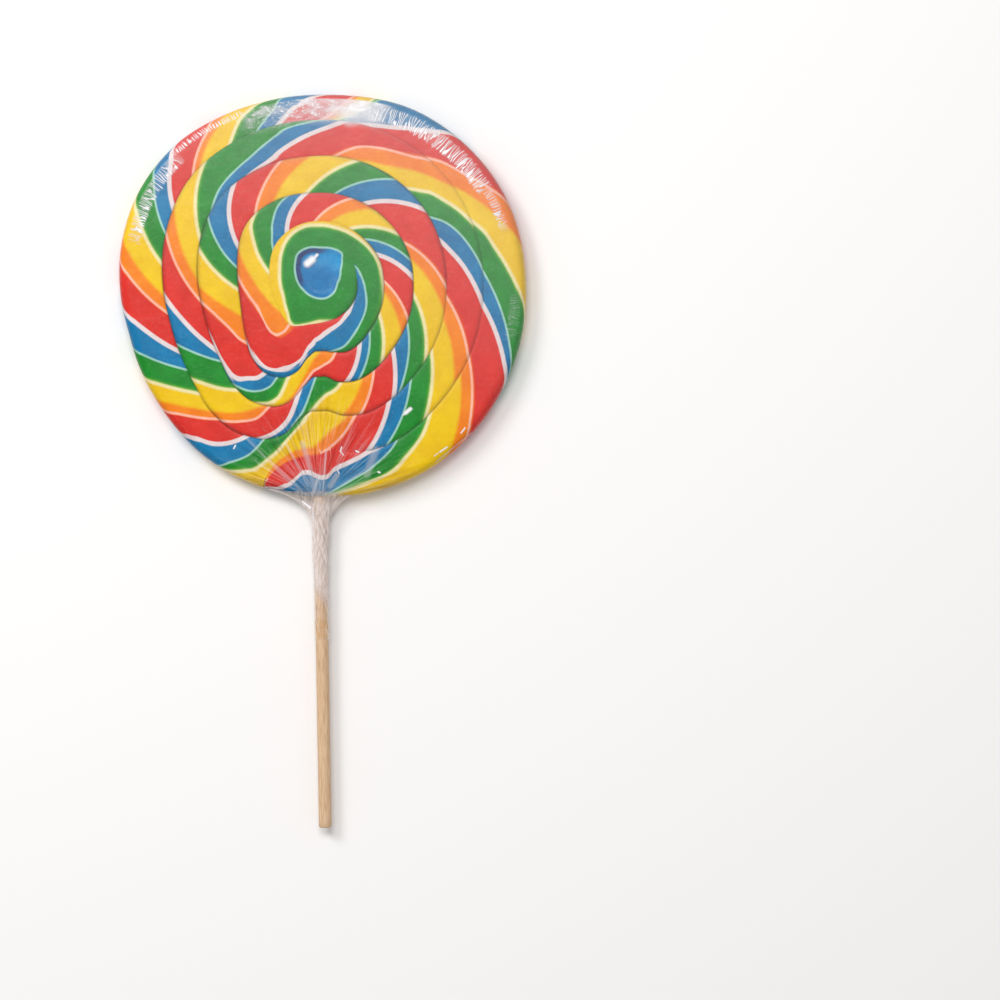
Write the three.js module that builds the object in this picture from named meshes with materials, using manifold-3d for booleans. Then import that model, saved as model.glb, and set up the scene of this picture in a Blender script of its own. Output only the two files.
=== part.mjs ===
// A swirl lollipop: a coiled, pressed rope of boiled sugar on a wooden stick,
// with the clear wrapper gathered round the top of the stick.
//
// Frame: millimetres, +Z up. The lollipop lies on its back with the shown face up.
// The origin is on the candy's underside, in the middle of its outline, and the
// stick runs towards -Y. Angles are in degrees, anticlockwise from +X.

import * as THREE from 'three';
import { mergeVertices } from 'three/addons/utils/BufferGeometryUtils.js';
import Module from 'manifold-3d';

const wasm = await Module();
wasm.setup();

// ---------------------------------------------------------------- dimensions

const GAP = 0.3; // clearance between pieces that touch

const THICKNESS = 10; // the pressed disc
const MID_Z = THICKNESS / 2;
const MEAN_RADIUS = 75.5;
// How far the outline bulges out of that circle, by angle.
const BULGES = [
  [0, -0.3], [30, 1], [60, 0.6], [90, -1.8], [105, -1.2], [120, 0.3], [135, 2.2], [150, 2.7],
  [165, 1.7], [180, -0.2], [195, -2], [210, -2], [240, -0.4], [270, 0], [300, 0.6], [330, -0.1],
];
const SHOULDER = 3.6; // width of the rounded rim, seen from above
const RIM_FULLNESS = 0.78; // exponent of the rim's rounding: 1 is an ellipse, less is squarer
const RIM_ROWS = 6;

// The rope is coiled round a point above the middle of the disc.
const COIL_CENTRE = new THREE.Vector2(-1.1, 7.8);
const COIL_START = 20; // the angle where the crease leaves the core; the coil runs clockwise
const CREASE_TURNS = 4.37; // length of the crease, in turns, up to where it meets the rim
const CROSSINGS = 5; // a ray from the centre crosses the crease this often, at most
const CORE_RADIUS = 11.4;
const CREASE_AT_ZERO = 23.3; // the crease's radius where it crosses angle 0 after its first turn
const CREASE_PITCH = 10.36; // growth of that radius in one turn
const CREASE_PITCH_GROWTH = 0.65;
// How far the crease sways out of the even spiral, by angle. The rope is pushed up
// beside the stick, which leaves the steep step between 245 and 270.
const SWAY = [
  [0, 0], [30, -0.4], [60, -0.6], [90, -0.4], [120, 2], [150, 5], [180, 5.2], [195, 5.7],
  [210, 7.8], [222, 10.7], [232, 14.1], [242, 15.9], [250, 15], [257, 11.5], [262, 5.2],
  [267, 1.5], [272, 1.5], [280, 4.4], [290, 5.7], [300, 5], [310, 3.7], [330, 2],
];
// The same in the first turn, round the core.
const FIRST_SWAY = [
  [0, -0.6], [60, -0.6], [120, 0.5], [150, 1.2], [180, 0.8], [200, 1.7], [220, 3.1], [232, 4.8],
  [241, 5.9], [250, 4.8], [260, 3.5], [275, 2.8], [290, 2.6], [310, 1.1], [330, 0],
];
// How much tighter than that the second turn is, by angle.
const TUCK = [
  [0, 0], [40, 1.4], [70, 1.8], [120, 1.5], [150, 2.1], [180, 3.2], [205, 2.5], [230, 0.7], [250, 0],
];
const START_DIVE = 1.1; // how far the crease's start drops to meet the core
const STEP_FILL = 1.9; // the second turn's step is this much shallower

const CREASE_DEPTH = 0.75; // creases between the turns, on the shown face
const BACK_CREASE_DEPTH = 0.5;
const ROPE_CROWN = 0.2; // the turns' backs bulge this much on the shown face
const CREASE_EDGE = 0.08; // share of a turn's width that rounds into the crease
const DIMPLE_RADIUS = 9; // hollow at the middle of the coil
const DIMPLE_DEPTH = 1.1;

const STICK_DIAMETER = 4.76; // 3/16 inch dowel
const STICK_LENGTH = 177.8; // 7 inch
const STICK_CHAMFER = 0.5;
const STICK_SIDES = 20;
const STICK_SHOWN = 122.6; // length outside the candy
const STICK_AXIS_AT_RIM = new THREE.Vector2(-1.4, -75.5);
const STICK_LEAN = 0.97; // degrees, its free end towards +X

const SLEEVE_LENGTH = 53; // the wrapper's reach down the stick from the candy's rim
const SLEEVE_RADIUS = 3.1;
const SLEEVE_FOLD = 0.22; // height of the gathers
const SLEEVE_FOLDS = 7;
const SLEEVE_TWIST = 6; // degrees of twist for each mm of stick
// The web between the candy's rim and the sleeve:
// [distance from the rim along the stick, reach to -X, reach to +X, half height].
const WEB = [
  [-3.2, 20, 18, 4.5], [-1.2, 13.2, 13, 4.45], [0.8, 9.6, 9.8, 4.3], [2.8, 7, 7.2, 4],
  [5, 4.7, 5.2, 3.6], [7, 3.5, 3.9, 3.3], [9.5, SLEEVE_RADIUS, 3.3, 3.15],
];
const SLEEVE_STEP = 3.6;
const WRAPPER_SIDES = 28;

// Directions in which the disc is sampled, clockwise: [from, to, steps].
const SAMPLING = [[20, -60, 13], [-60, -125, 25], [-125, -165, 8], [-165, -340, 27]];

// ------------------------------------------------------------------- helpers

const radians = THREE.MathUtils.degToRad;

function smoothstep(low, high, x) {
  return THREE.MathUtils.smoothstep(x, low, high);
}

// A smooth curve through [angle, value] knots round the full circle, without overshoot.
function roundCurve(knots, angle) {
  const a = THREE.MathUtils.euclideanModulo(angle, 360);
  const n = knots.length;
  const knot = (i) => {
    const [x, y] = knots[THREE.MathUtils.euclideanModulo(i, n)];
    return [x + 360 * Math.floor(i / n), y];
  };
  const slope = (i) => (knot(i + 1)[1] - knot(i)[1]) / (knot(i + 1)[0] - knot(i)[0]);
  const tangent = (i) => {
    const [before, after] = [slope(i - 1), slope(i)];
    return before * after <= 0 ? 0 : (2 * before * after) / (before + after);
  };
  let i = 0;
  while (knot(i + 1)[0] <= a) i += 1;
  const width = knot(i + 1)[0] - knot(i)[0];
  const u = (a - knot(i)[0]) / width;
  const [h00, h10] = [2 * u ** 3 - 3 * u ** 2 + 1, u ** 3 - 2 * u ** 2 + u];
  const [h01, h11] = [3 * u ** 2 - 2 * u ** 3, u ** 3 - u ** 2];
  return h00 * knot(i)[1] + h01 * knot(i + 1)[1] + width * (h10 * tangent(i) + h11 * tangent(i + 1));
}

// Quads between two rows of vertex numbers, without the triangles that have collapsed.
function stitch(index, rowA, rowB) {
  for (let i = 0; i + 1 < rowA.length; i += 1) {
    const [a, b, c, d] = [rowA[i], rowA[i + 1], rowB[i + 1], rowB[i]];
    if (a !== b && b !== c && a !== c) index.push(a, b, c);
    if (a !== c && c !== d && a !== d) index.push(a, c, d);
  }
}

function meshGeometry(points, index) {
  const geometry = new THREE.BufferGeometry();
  geometry.setAttribute('position', new THREE.Float32BufferAttribute(points.flat(), 3));
  geometry.setIndex(index);
  geometry.computeVertexNormals();
  return geometry;
}

function toSolid(geometry) {
  const bare = geometry.clone();
  bare.deleteAttribute('normal');
  bare.deleteAttribute('uv');
  const merged = mergeVertices(bare, 1e-4);
  const triangles = [];
  for (let i = 0; i < merged.index.count; i += 3) {
    const [a, b, c] = [0, 1, 2].map((k) => merged.index.getX(i + k));
    if (a !== b && b !== c && a !== c) triangles.push(a, b, c);
  }
  return new wasm.Manifold(new wasm.Mesh({
    numProp: 3,
    vertProperties: Float32Array.from(merged.attributes.position.array),
    triVerts: Uint32Array.from(triangles),
  }));
}

function toGeometry(solid) {
  const mesh = solid.getMesh();
  const geometry = new THREE.BufferGeometry();
  geometry.setAttribute('position', new THREE.BufferAttribute(mesh.vertProperties, 3));
  geometry.setIndex(new THREE.BufferAttribute(mesh.triVerts, 1));
  geometry.computeVertexNormals();
  return geometry;
}

// --------------------------------------------------------- outline and coil

function outlineRadius(angle) {
  return MEAN_RADIUS + roundCurve(BULGES, angle);
}

// Distance from the coil's centre to the outline, found by halving.
function rimReach(angle) {
  const along = new THREE.Vector2(Math.cos(radians(angle)), Math.sin(radians(angle)));
  let [inside, outside] = [0, 2 * MEAN_RADIUS];
  for (let i = 0; i < 40; i += 1) {
    const reach = (inside + outside) / 2;
    const point = along.clone().multiplyScalar(reach).add(COIL_CENTRE);
    const within = point.length() < outlineRadius(THREE.MathUtils.radToDeg(point.angle()));
    if (within) inside = reach;
    else outside = reach;
  }
  return inside;
}

function faceReach(angle) {
  return rimReach(angle) - SHOULDER;
}

// Radius of the crease, counted in turns from its start at COIL_START.
function creaseRadius(turn) {
  const angle = COIL_START - 360 * turn;
  const turnsPastZero = turn - 1 - COIL_START / 360;
  const even = CREASE_AT_ZERO + CREASE_PITCH * turnsPastZero
    + CREASE_PITCH_GROWTH * turnsPastZero ** 2;
  const sway = THREE.MathUtils.lerp(
    roundCurve(FIRST_SWAY, angle), roundCurve(SWAY, angle), smoothstep(0.72, 1.1, turn));
  const tuckShare = smoothstep(0.5, 0.8, turn) * (1 - smoothstep(2.05, 2.55, turn));
  const tuck = tuckShare * roundCurve(TUCK, angle);
  const dive = START_DIVE * (1 - smoothstep(0, 0.1, turn));
  const fill = STEP_FILL * smoothstep(1.275, 1.3, turn) * (1 - smoothstep(1.325, 1.345, turn));
  const radius = Math.max(even + sway - tuck - dive + fill, CORE_RADIUS);
  const end = smoothstep(CREASE_TURNS - 0.07, CREASE_TURNS, turn);
  const edge = faceReach(angle);
  return Math.min(THREE.MathUtils.lerp(radius, edge, end), edge);
}

// The crease fades in over a tenth of a turn, and out before it meets the rim.
function creaseFadeIn(turn) {
  return smoothstep(0, 0.1, turn);
}

function creaseStrength(turn) {
  return creaseFadeIn(turn) * (1 - smoothstep(CREASE_TURNS - 0.15, CREASE_TURNS - 0.07, turn));
}

// -------------------------------------------------------------------- candy

const TURN_SHARES = [0, CREASE_EDGE, 0.5, 1 - CREASE_EDGE]; // samples across one turn
const SHARES = TURN_SHARES.length;

// One ray from the coil's centre: samples from the core's edge out to the face's edge, as
// [radius, depth of the crease here (0 to 1), how far down the turn's rounded back (0 to 1)].
function raySamples(start) {
  const angle = COIL_START - 360 * start;
  const turns = Array.from({ length: CROSSINGS }, (_, k) => k + start);
  const lines = [CORE_RADIUS, ...turns.map(creaseRadius), faceReach(angle)];
  const creases = [0, ...turns.map(creaseStrength)];
  const edges = [0, ...turns.map(creaseFadeIn), 1];
  const samples = [];
  for (let k = 0; k + 1 < lines.length; k += 1) {
    const drops = [edges[k], edges[k], 0, edges[k + 1]];
    TURN_SHARES.forEach((share, i) => {
      const radius = THREE.MathUtils.lerp(lines[k], lines[k + 1], share);
      samples.push([radius, i === 0 ? creases[k] : 0, drops[i]]);
    });
  }
  samples.push([lines.at(-1), 0, 1]);
  return { angle, samples };
}

function samplingRays() {
  const starts = [];
  for (const [from, to, steps] of SAMPLING) {
    for (let i = 0; i < steps; i += 1) {
      starts.push((COIL_START - THREE.MathUtils.lerp(from, to, i / steps)) / 360);
    }
  }
  return starts.map(raySamples);
}

function polar(angle, radius, z) {
  return [
    COIL_CENTRE.x + radius * Math.cos(radians(angle)),
    COIL_CENTRE.y + radius * Math.sin(radians(angle)),
    z,
  ];
}

// One row of the rounded rim: tilt 90 is the shown face's edge, -90 the underside's.
function rimPoint(angle, tilt, grow = 0) {
  const out = Math.max(0, Math.cos(radians(tilt))) ** RIM_FULLNESS;
  const up = Math.sign(tilt) * Math.abs(Math.sin(radians(tilt))) ** RIM_FULLNESS;
  return polar(angle, faceReach(angle) + (SHOULDER + grow) * out, MID_Z + (MID_Z + grow) * up);
}

function rimTilts() {
  return Array.from({ length: RIM_ROWS - 1 }, (_, i) => 90 - (180 * (i + 1)) / RIM_ROWS);
}

// The face's samples of every ray as vertex numbers. The last ray meets the first one
// a whole turn further out, so the rays form one continuous spiral strip. The strip has
// no width at its start on the core, nor past its end on the rim.
function spiralRows(points, rays, height) {
  const rows = rays.map(({ angle, samples }, j) => {
    const row = samples.map(([radius, crease, drop]) => {
      points.push(polar(angle, radius, height(crease, drop)));
      return points.length - 1;
    });
    const edge = samples.at(-1)[0];
    samples.forEach(([radius], i) => {
      if (radius > edge - 1e-6) row[i] = row.at(-1);
    });
    if (j === 0) row.fill(row[SHARES], 0, SHARES);
    return row;
  });
  const first = rows[0];
  rows.push([...first.slice(SHARES), ...Array(SHARES).fill(first.at(-1))]);
  return rows;
}

function candyGeometry() {
  const points = [];
  const index = [];
  const rays = samplingRays();

  const shown = spiralRows(points, rays, (crease, drop) => (
    THICKNESS - ROPE_CROWN * drop - CREASE_DEPTH * crease));
  const back = spiralRows(points, rays, (crease) => BACK_CREASE_DEPTH * crease);
  for (let j = 0; j < rays.length; j += 1) {
    stitch(index, shown[j + 1], shown[j]);
    stitch(index, back[j], back[j + 1]);
  }

  // The core on the shown face, with the dimple, as closed rings round the centre.
  points.push(polar(0, 0, THICKNESS - DIMPLE_DEPTH));
  const shownCentre = points.length - 1;
  points.push(polar(0, 0, 0));
  const backCentre = points.length - 1;
  const dimple = [[0.4, 0.85], [0.75, 0.45], [1, 0.04]];
  const cores = rays.map(({ angle }) => dimple.map(([share, depth]) => {
    points.push(polar(angle, DIMPLE_RADIUS * share, THICKNESS - DIMPLE_DEPTH * depth));
    return points.length - 1;
  }));
  const rims = rays.map(({ angle }) => rimTilts().map((tilt) => {
    points.push(rimPoint(angle, tilt));
    return points.length - 1;
  }));
  rays.forEach((_, j) => {
    const next = (j + 1) % rays.length;
    const core = (k) => [shownCentre, ...cores[k], shown[k][0]];
    const rim = (k) => [shown[k].at(-1), ...rims[k], back[k].at(-1)];
    stitch(index, core(next), core(j));
    stitch(index, rim(next), rim(j));
    index.push(backCentre, back[j][0], back[next][0]);
  });
  return meshGeometry(points, index);
}

// The candy's plain outer form, grown all round, to cut its neighbours clear of it.
function grownCandy(grow) {
  const points = [polar(0, 0, THICKNESS + grow), polar(0, 0, -grow)];
  const index = [];
  const tilts = [90, ...rimTilts(), -90];
  const rims = samplingRays().map(({ angle }) => tilts.map((tilt) => {
    points.push(rimPoint(angle, tilt, grow));
    return points.length - 1;
  }));
  rims.forEach((_, j) => {
    const next = (j + 1) % rims.length;
    stitch(index, [0, ...rims[next], 1], [0, ...rims[j], 1]);
  });
  return toSolid(meshGeometry(points, index));
}

// -------------------------------------------------------------------- stick

// The stick's own frame: its origin on the axis at the candy's rim, -Y down the stick.
const stickPlace = new THREE.Group();
stickPlace.position.set(STICK_AXIS_AT_RIM.x, STICK_AXIS_AT_RIM.y, MID_Z);
stickPlace.rotation.z = radians(STICK_LEAN);
stickPlace.updateMatrix();

function stickGeometry() {
  const radius = STICK_DIAMETER / 2;
  const [low, high] = [-STICK_SHOWN, STICK_LENGTH - STICK_SHOWN];
  const profile = [
    [0, low], [radius - STICK_CHAMFER, low], [radius, low + STICK_CHAMFER],
    [radius, high - STICK_CHAMFER], [radius - STICK_CHAMFER, high], [0, high],
  ];
  return new THREE.LatheGeometry(profile.map(([x, y]) => new THREE.Vector2(x, y)), STICK_SIDES);
}

// A round bore along the stick's axis, in the part's frame.
function bore(from, to) {
  const length = to - from;
  const geometry = new THREE.CylinderGeometry(
    STICK_DIAMETER / 2 + GAP, STICK_DIAMETER / 2 + GAP, length, STICK_SIDES);
  geometry.translate(0, from + length / 2, 0);
  geometry.applyMatrix4(stickPlace.matrix);
  return toSolid(geometry);
}

// ------------------------------------------------------------------ wrapper

// One section of the gathered wrapper across the stick: reaches to -X and +X, half
// height, and the folds' height at this distance down the stick.
function wrapperSection(distance, left, right, half, fold) {
  const row = [];
  for (let i = 0; i < WRAPPER_SIDES; i += 1) {
    const angle = (2 * Math.PI * i) / WRAPPER_SIDES;
    const ripple = fold * Math.cos(SLEEVE_FOLDS * angle + radians(SLEEVE_TWIST * distance));
    const reach = (Math.cos(angle) < 0 ? left : right) + ripple;
    row.push([reach * Math.cos(angle), -distance, (half + ripple) * Math.sin(angle)]);
  }
  return row;
}

function wrapperSections() {
  const sections = WEB.map(([distance, left, right, half]) => (
    wrapperSection(distance, left, right, half, 0)));
  const start = WEB.at(-1)[0];
  const steps = Math.round((SLEEVE_LENGTH - start) / SLEEVE_STEP);
  for (let i = 1; i <= steps; i += 1) {
    const distance = THREE.MathUtils.lerp(start, SLEEVE_LENGTH, i / steps);
    const radius = SLEEVE_RADIUS + SLEEVE_FOLD;
    const fold = i === steps ? 0 : SLEEVE_FOLD;
    sections.push(wrapperSection(distance, radius, radius, radius, fold));
  }
  return sections;
}

function wrapperGeometry() {
  const points = [];
  const index = [];
  const rows = wrapperSections().map((section) => {
    const row = section.map((point) => points.push(point) - 1);
    return [...row, row[0]];
  });
  for (let j = 0; j + 1 < rows.length; j += 1) stitch(index, rows[j], rows[j + 1]);
  const capTop = points.push([0, -WEB[0][0], 0]) - 1;
  const capEnd = points.push([0, -SLEEVE_LENGTH, 0]) - 1;
  for (let i = 0; i < WRAPPER_SIDES; i += 1) {
    index.push(capTop, rows[0][i + 1], rows[0][i]);
    index.push(capEnd, rows.at(-1)[i], rows.at(-1)[i + 1]);
  }
  const gathered = meshGeometry(points, index);
  gathered.applyMatrix4(stickPlace.matrix);
  return toGeometry(toSolid(gathered)
    .subtract(grownCandy(GAP))
    .subtract(bore(-SLEEVE_LENGTH - 1, 10)));
}

// ----------------------------------------------------------------- assembly

function piece(name, geometry, color, roughness) {
  const material = new THREE.MeshStandardMaterial({ color, roughness, metalness: 0 });
  const mesh = new THREE.Mesh(geometry, material);
  mesh.name = name;
  return mesh;
}

const socket = bore(-10, STICK_LENGTH - STICK_SHOWN + GAP);
const group = new THREE.Group();
group.add(piece('candy', toGeometry(toSolid(candyGeometry()).subtract(socket)), 0xd94a44, 0.25));
stickPlace.add(piece('stick', stickGeometry(), 0xd2ae84, 0.8));
group.add(stickPlace);
group.add(piece('film_neck', wrapperGeometry(), 0xe8e0dc, 0.3));

export default group;
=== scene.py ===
"""The looks of the swirl lollipop: candy, film and stick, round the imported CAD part.

The part's frame is the CAD's: +Z up, the origin on the candy's underside in the middle
of its outline, the stick towards -Y. Lengths below are millimetres, angles are degrees
anticlockwise from +X. Meshes are scaled to metres when they are made.
"""

import math

import bpy
import numpy as np
from mathutils import Matrix, Vector


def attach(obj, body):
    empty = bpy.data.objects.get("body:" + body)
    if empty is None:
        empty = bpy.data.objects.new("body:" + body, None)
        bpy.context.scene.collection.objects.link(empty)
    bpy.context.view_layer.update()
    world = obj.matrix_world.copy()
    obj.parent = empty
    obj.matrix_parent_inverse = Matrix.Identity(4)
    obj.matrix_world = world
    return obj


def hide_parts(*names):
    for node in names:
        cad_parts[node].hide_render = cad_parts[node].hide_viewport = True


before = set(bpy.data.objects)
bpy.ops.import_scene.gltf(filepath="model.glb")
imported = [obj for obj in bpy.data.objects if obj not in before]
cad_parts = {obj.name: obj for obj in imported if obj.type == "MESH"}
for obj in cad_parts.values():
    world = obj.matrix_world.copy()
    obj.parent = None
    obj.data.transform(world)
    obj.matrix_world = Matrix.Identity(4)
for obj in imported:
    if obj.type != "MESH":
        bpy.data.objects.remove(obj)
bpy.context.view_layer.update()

MM = 0.001

# ------------------------------------------------------- outline and coil

THICKNESS = 10.0
MID_Z = THICKNESS / 2
MEAN_RADIUS = 75.5
# How far the outline bulges out of that circle, by angle.
BULGES = (
    (0, -0.3), (30, 1), (60, 0.6), (90, -1.8), (105, -1.2), (120, 0.3), (135, 2.2), (150, 2.7),
    (165, 1.7), (180, -0.2), (195, -2), (210, -2), (240, -0.4), (270, 0), (300, 0.6), (330, -0.1),
)
SHOULDER = 3.6
RIM_FULLNESS = 0.78

# The photo's frame, for the points that were read off it.
PHOTO_SIDE = 1000.0  # pixels each way
MM_PER_PIXEL = 0.37
DISC_PIXEL_X, DISC_PIXEL_Y = 323.0, 293.0  # where the part's origin is

COIL_X, COIL_Y = -1.1, 7.8
COIL_START = 20.0
CREASE_TURNS = 4.346
CORE_RADIUS = 12.4
CREASE_AT_ZERO = 23.3
CREASE_PITCH = 10.36
CREASE_PITCH_GROWTH = 0.65
# How far the crease strays from an even spiral, by angle: in general, in its first turn,
# and, inwards, in the second and third.
SWAY = (
    (0, 0), (30, -0.4), (60, -0.6), (90, -0.4), (120, 2), (150, 5), (180, 5.2), (195, 5.7),
    (210, 7.8), (222, 10.7), (232, 14.1), (242, 15.9), (250, 15), (257, 11.5), (262, 5.2),
    (267, 1.5), (272, 1.5), (280, 4.4), (290, 5.7), (300, 5), (310, 3.7), (330, 2),
)
FIRST_SWAY = (
    (0, -0.6), (60, -0.6), (120, 0.5), (150, 1.2), (180, 0.8), (200, 1.7), (220, 3.1), (232, 4.8),
    (241, 5.9), (250, 4.8), (260, 3.5), (275, 2.8), (290, 2.6), (310, 1.1), (330, 0),
)
TUCK = (
    (0, 0), (40, 1.4), (70, 1.8), (120, 1.5), (150, 2.1), (180, 3.2), (205, 2.5), (230, 0.7),
    (250, 0),
)
# The crease's start, down the core's right side, in the photo's pixels.
START_POINTS = (
    (351.5, 260.5), (354.5, 265.5), (356, 272), (357, 279), (357.5, 285.5), (357, 292), (355, 299),
    (351.5, 305), (347, 310.5), (341.5, 315), (336, 318.5), (329.5, 320.5), (320.5, 322),
)
STEP_FILL = 1.9
# Where these begin and cease along the crease, in turns.
START_FADE = (0.2, 0.29)
START_END = 0.3
SWAY_FADE = (0.72, 1.1)
TUCK_RISE, TUCK_FALL = (0.5, 0.8), (2.05, 2.55)
STEP_RISE, STEP_FALL = (1.275, 1.3), (1.315, 1.335)
END_STEP = 0.01
STRENGTH_RISE = 0.1
STRENGTH_FALL = (0.085, 0.05)

# How much the crease shows, by angle.
CREASE_LOOK = (
    (20, 0.95), (60, 0.7), (90, 0.5), (130, 0.6), (170, 0.9), (210, 0.95), (250, 1), (300, 1),
    (340, 0.95),
)
# The same for the outermost turn.
LAST_CREASE_LOOK = (
    (20, 0.5), (45, 0.35), (75, 0.25), (110, 0.2), (150, 0.5), (180, 0.9), (250, 1), (300, 0.75),
    (340, 0.55),
)
FIRST_LOOK_FADE, LOOK_FADE, LAST_LOOK_FADE = (0.22, 0.32), (0.85, 1.0), (2.95, 3.15)  # in turns
FIRST_LOOK_LOSS = 0.85
CREASE_DEPTH = 0.28
BACK_CREASE_DEPTH = 0.5
ROPE_CROWN = 0.08
GROOVE_WIDTH, BACK_GROOVE_WIDTH = 0.34, 0.8
GROOVE_POWER = 1.5
CROWN_WIDTH = 2.0
CREASE_FAR = 9.0  # millimetres, where there is no crease
DIMPLE_DEPTH = 0.9
DIMPLE_MIDDLE, DIMPLE_BULGE = 0.7, 0.75  # the middle's depth, and how far out it bulges
DIMPLE_WALL = (0.76, 1.01)
CANDY_LIFT = 0.1  # the film's thickness under the candy, with the air in it


def smooth(low, high, x):
    share = np.clip((x - low) / (high - low), 0, 1)
    return share * share * (3 - 2 * share)


def cubic(x, y, tangent, i, u):
    """The curve from knot i to the next one, a share u of the way along."""
    ends = (2 * u**3 - 3 * u**2 + 1) * y[i] + (3 * u**2 - 2 * u**3) * y[i + 1]
    bend = (u**3 - 2 * u**2 + u) * tangent[i] + (u**3 - u**2) * tangent[i + 1]
    return ends + (x[i + 1] - x[i]) * bend


def round_curve(knots, angle):
    """A smooth curve through (angle, value) knots round the full circle, with no overshoot."""
    first = knots[0][0]
    a = first + np.mod(angle - first, 360.0)
    x = np.array([k[0] for k in knots] + [360 + first], float)
    y = np.array([k[1] for k in knots] + [knots[0][1]], float)
    slope = np.diff(y) / np.diff(x)
    before = np.roll(slope, 1)
    total = np.where(before + slope == 0, 1, before + slope)
    tangent = np.where(before * slope <= 0, 0, 2 * before * slope / total)
    tangent = np.append(tangent, tangent[0])
    i = np.clip(np.searchsorted(x, a, side="right") - 1, 0, len(knots) - 1)
    return cubic(x, y, tangent, i, (a - x[i]) / (x[i + 1] - x[i]))


def smooth_bend(knots, x):
    """A smooth curve through (x, y) knots with no overshoot, straight past its ends."""
    kx, ky = (np.array(column, float) for column in zip(*knots))
    slope = np.diff(ky) / np.diff(kx)
    product, total = slope[1:] * slope[:-1], slope[1:] + slope[:-1]
    inner = np.where(product <= 0, 0, 2 * product / np.where(total == 0, 1, total))
    tangent = np.concatenate([slope[:1], inner, slope[-1:]])
    x = np.asarray(x, float)
    i = np.clip(np.searchsorted(kx, x, side="right") - 1, 0, len(kx) - 2)
    curve = cubic(kx, ky, tangent, i, np.clip((x - kx[i]) / (kx[i + 1] - kx[i]), 0, 1))
    return curve + np.minimum(x - kx[0], 0) * slope[0] + np.maximum(x - kx[-1], 0) * slope[-1]


def photo_place(points):
    """Angle and radius about the coil's centre of points in the photo's pixels."""
    across, down = np.array(points, float).T
    x = (across - DISC_PIXEL_X) * MM_PER_PIXEL - COIL_X
    y = (DISC_PIXEL_Y - down) * MM_PER_PIXEL - COIL_Y
    return np.mod(np.degrees(np.arctan2(y, x)), 360), np.hypot(x, y)


def closed_curve(points):
    """(angle, radius) knots of a closed line about the coil's centre."""
    return sorted(zip(*photo_place(points)))


def coil_knots(points):
    """(fraction of a turn, radius) knots of a line along the coil."""
    angle, radius = photo_place(points)
    fraction = np.mod((COIL_START - angle) / 360 + 0.5, 1) - 0.5
    return sorted(zip(fraction, radius))


def outline_radius(angle):
    return MEAN_RADIUS + round_curve(BULGES, angle)


def rim_reach(angle):
    """Distance from the coil's centre to the outline, found by halving."""
    angle = np.asarray(angle, float)
    along_x, along_y = np.cos(np.radians(angle)), np.sin(np.radians(angle))
    inside = np.zeros_like(angle)
    outside = inside + 2 * MEAN_RADIUS
    for _ in range(40):
        reach = (inside + outside) / 2
        x, y = COIL_X + reach * along_x, COIL_Y + reach * along_y
        within = np.hypot(x, y) < outline_radius(np.degrees(np.arctan2(y, x)))
        inside = np.where(within, reach, inside)
        outside = np.where(within, outside, reach)
    return inside


def face_reach(angle):
    return rim_reach(angle) - SHOULDER


def turn_angle(turn):
    return COIL_START - 360 * np.asarray(turn, float)


START_KNOTS = coil_knots(START_POINTS)


def crease_radius(turn):
    """Radius of the crease, counted in turns from its start on the core."""
    turn = np.asarray(turn, float)
    angle = turn_angle(turn)
    past_zero = turn - 1 - COIL_START / 360
    even = CREASE_AT_ZERO + CREASE_PITCH * past_zero + CREASE_PITCH_GROWTH * past_zero**2
    grown = smooth(*SWAY_FADE, turn)
    sway = round_curve(FIRST_SWAY, angle) * (1 - grown) + round_curve(SWAY, angle) * grown
    tucked = smooth(*TUCK_RISE, turn) * (1 - smooth(*TUCK_FALL, turn))
    tuck = tucked * round_curve(TUCK, angle)
    fill = STEP_FILL * smooth(*STEP_RISE, turn) * (1 - smooth(*STEP_FALL, turn))
    begun = smooth(*START_FADE, turn)
    start = smooth_bend(START_KNOTS, np.minimum(turn, START_END))
    radius = start * (1 - begun) + (even + sway - tuck + fill) * begun
    radius = np.maximum(radius, CORE_RADIUS)
    end = smooth(CREASE_TURNS - END_STEP, CREASE_TURNS, turn)
    edge = face_reach(angle)
    return np.minimum(radius * (1 - end) + edge * end, edge)


def crease_strength(turn):
    fall_from, fall_to = STRENGTH_FALL
    fall = smooth(CREASE_TURNS - fall_from, CREASE_TURNS - fall_to, turn)
    return smooth(0, STRENGTH_RISE, turn) * (1 - fall)


def crease_look(turn):
    """How much the crease shows: little round the core's left, less at the top."""
    turn = np.asarray(turn, float)
    outer = smooth(*LOOK_FADE, turn)
    inner = 1 - FIRST_LOOK_LOSS * smooth(*FIRST_LOOK_FADE, turn)
    last = smooth(*LAST_LOOK_FADE, turn)
    angle = turn_angle(turn)
    look = round_curve(CREASE_LOOK, angle) * (1 - last)
    look = look + round_curve(LAST_CREASE_LOOK, angle) * last
    return look * outer + inner * (1 - outer)


def polar(angle, radius, z):
    """Points in the part's frame, from polar coordinates about the coil's centre."""
    return np.stack(np.broadcast_arrays(
        COIL_X + radius * np.cos(np.radians(angle)),
        COIL_Y + radius * np.sin(np.radians(angle)),
        z), axis=-1)


# ------------------------------------------------------------- stripes

# The rope's stripes repeat in this order: a white line, red, a pink line, orange, a soft
# edge, yellow, a cream line, green, a pale blue line, blue, and white again. One such
# cycle is one unit of phase, and the lines lie at these phases.
LINE_PHASES = {"white": 0.0, "pink": 0.315, "edge": 0.455, "cream": 0.665, "pale": 0.86}
LINE_NAMES = tuple(LINE_PHASES)
PINK, CREAM, PALE = (LINE_PHASES[name] for name in ("pink", "cream", "pale"))

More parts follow.
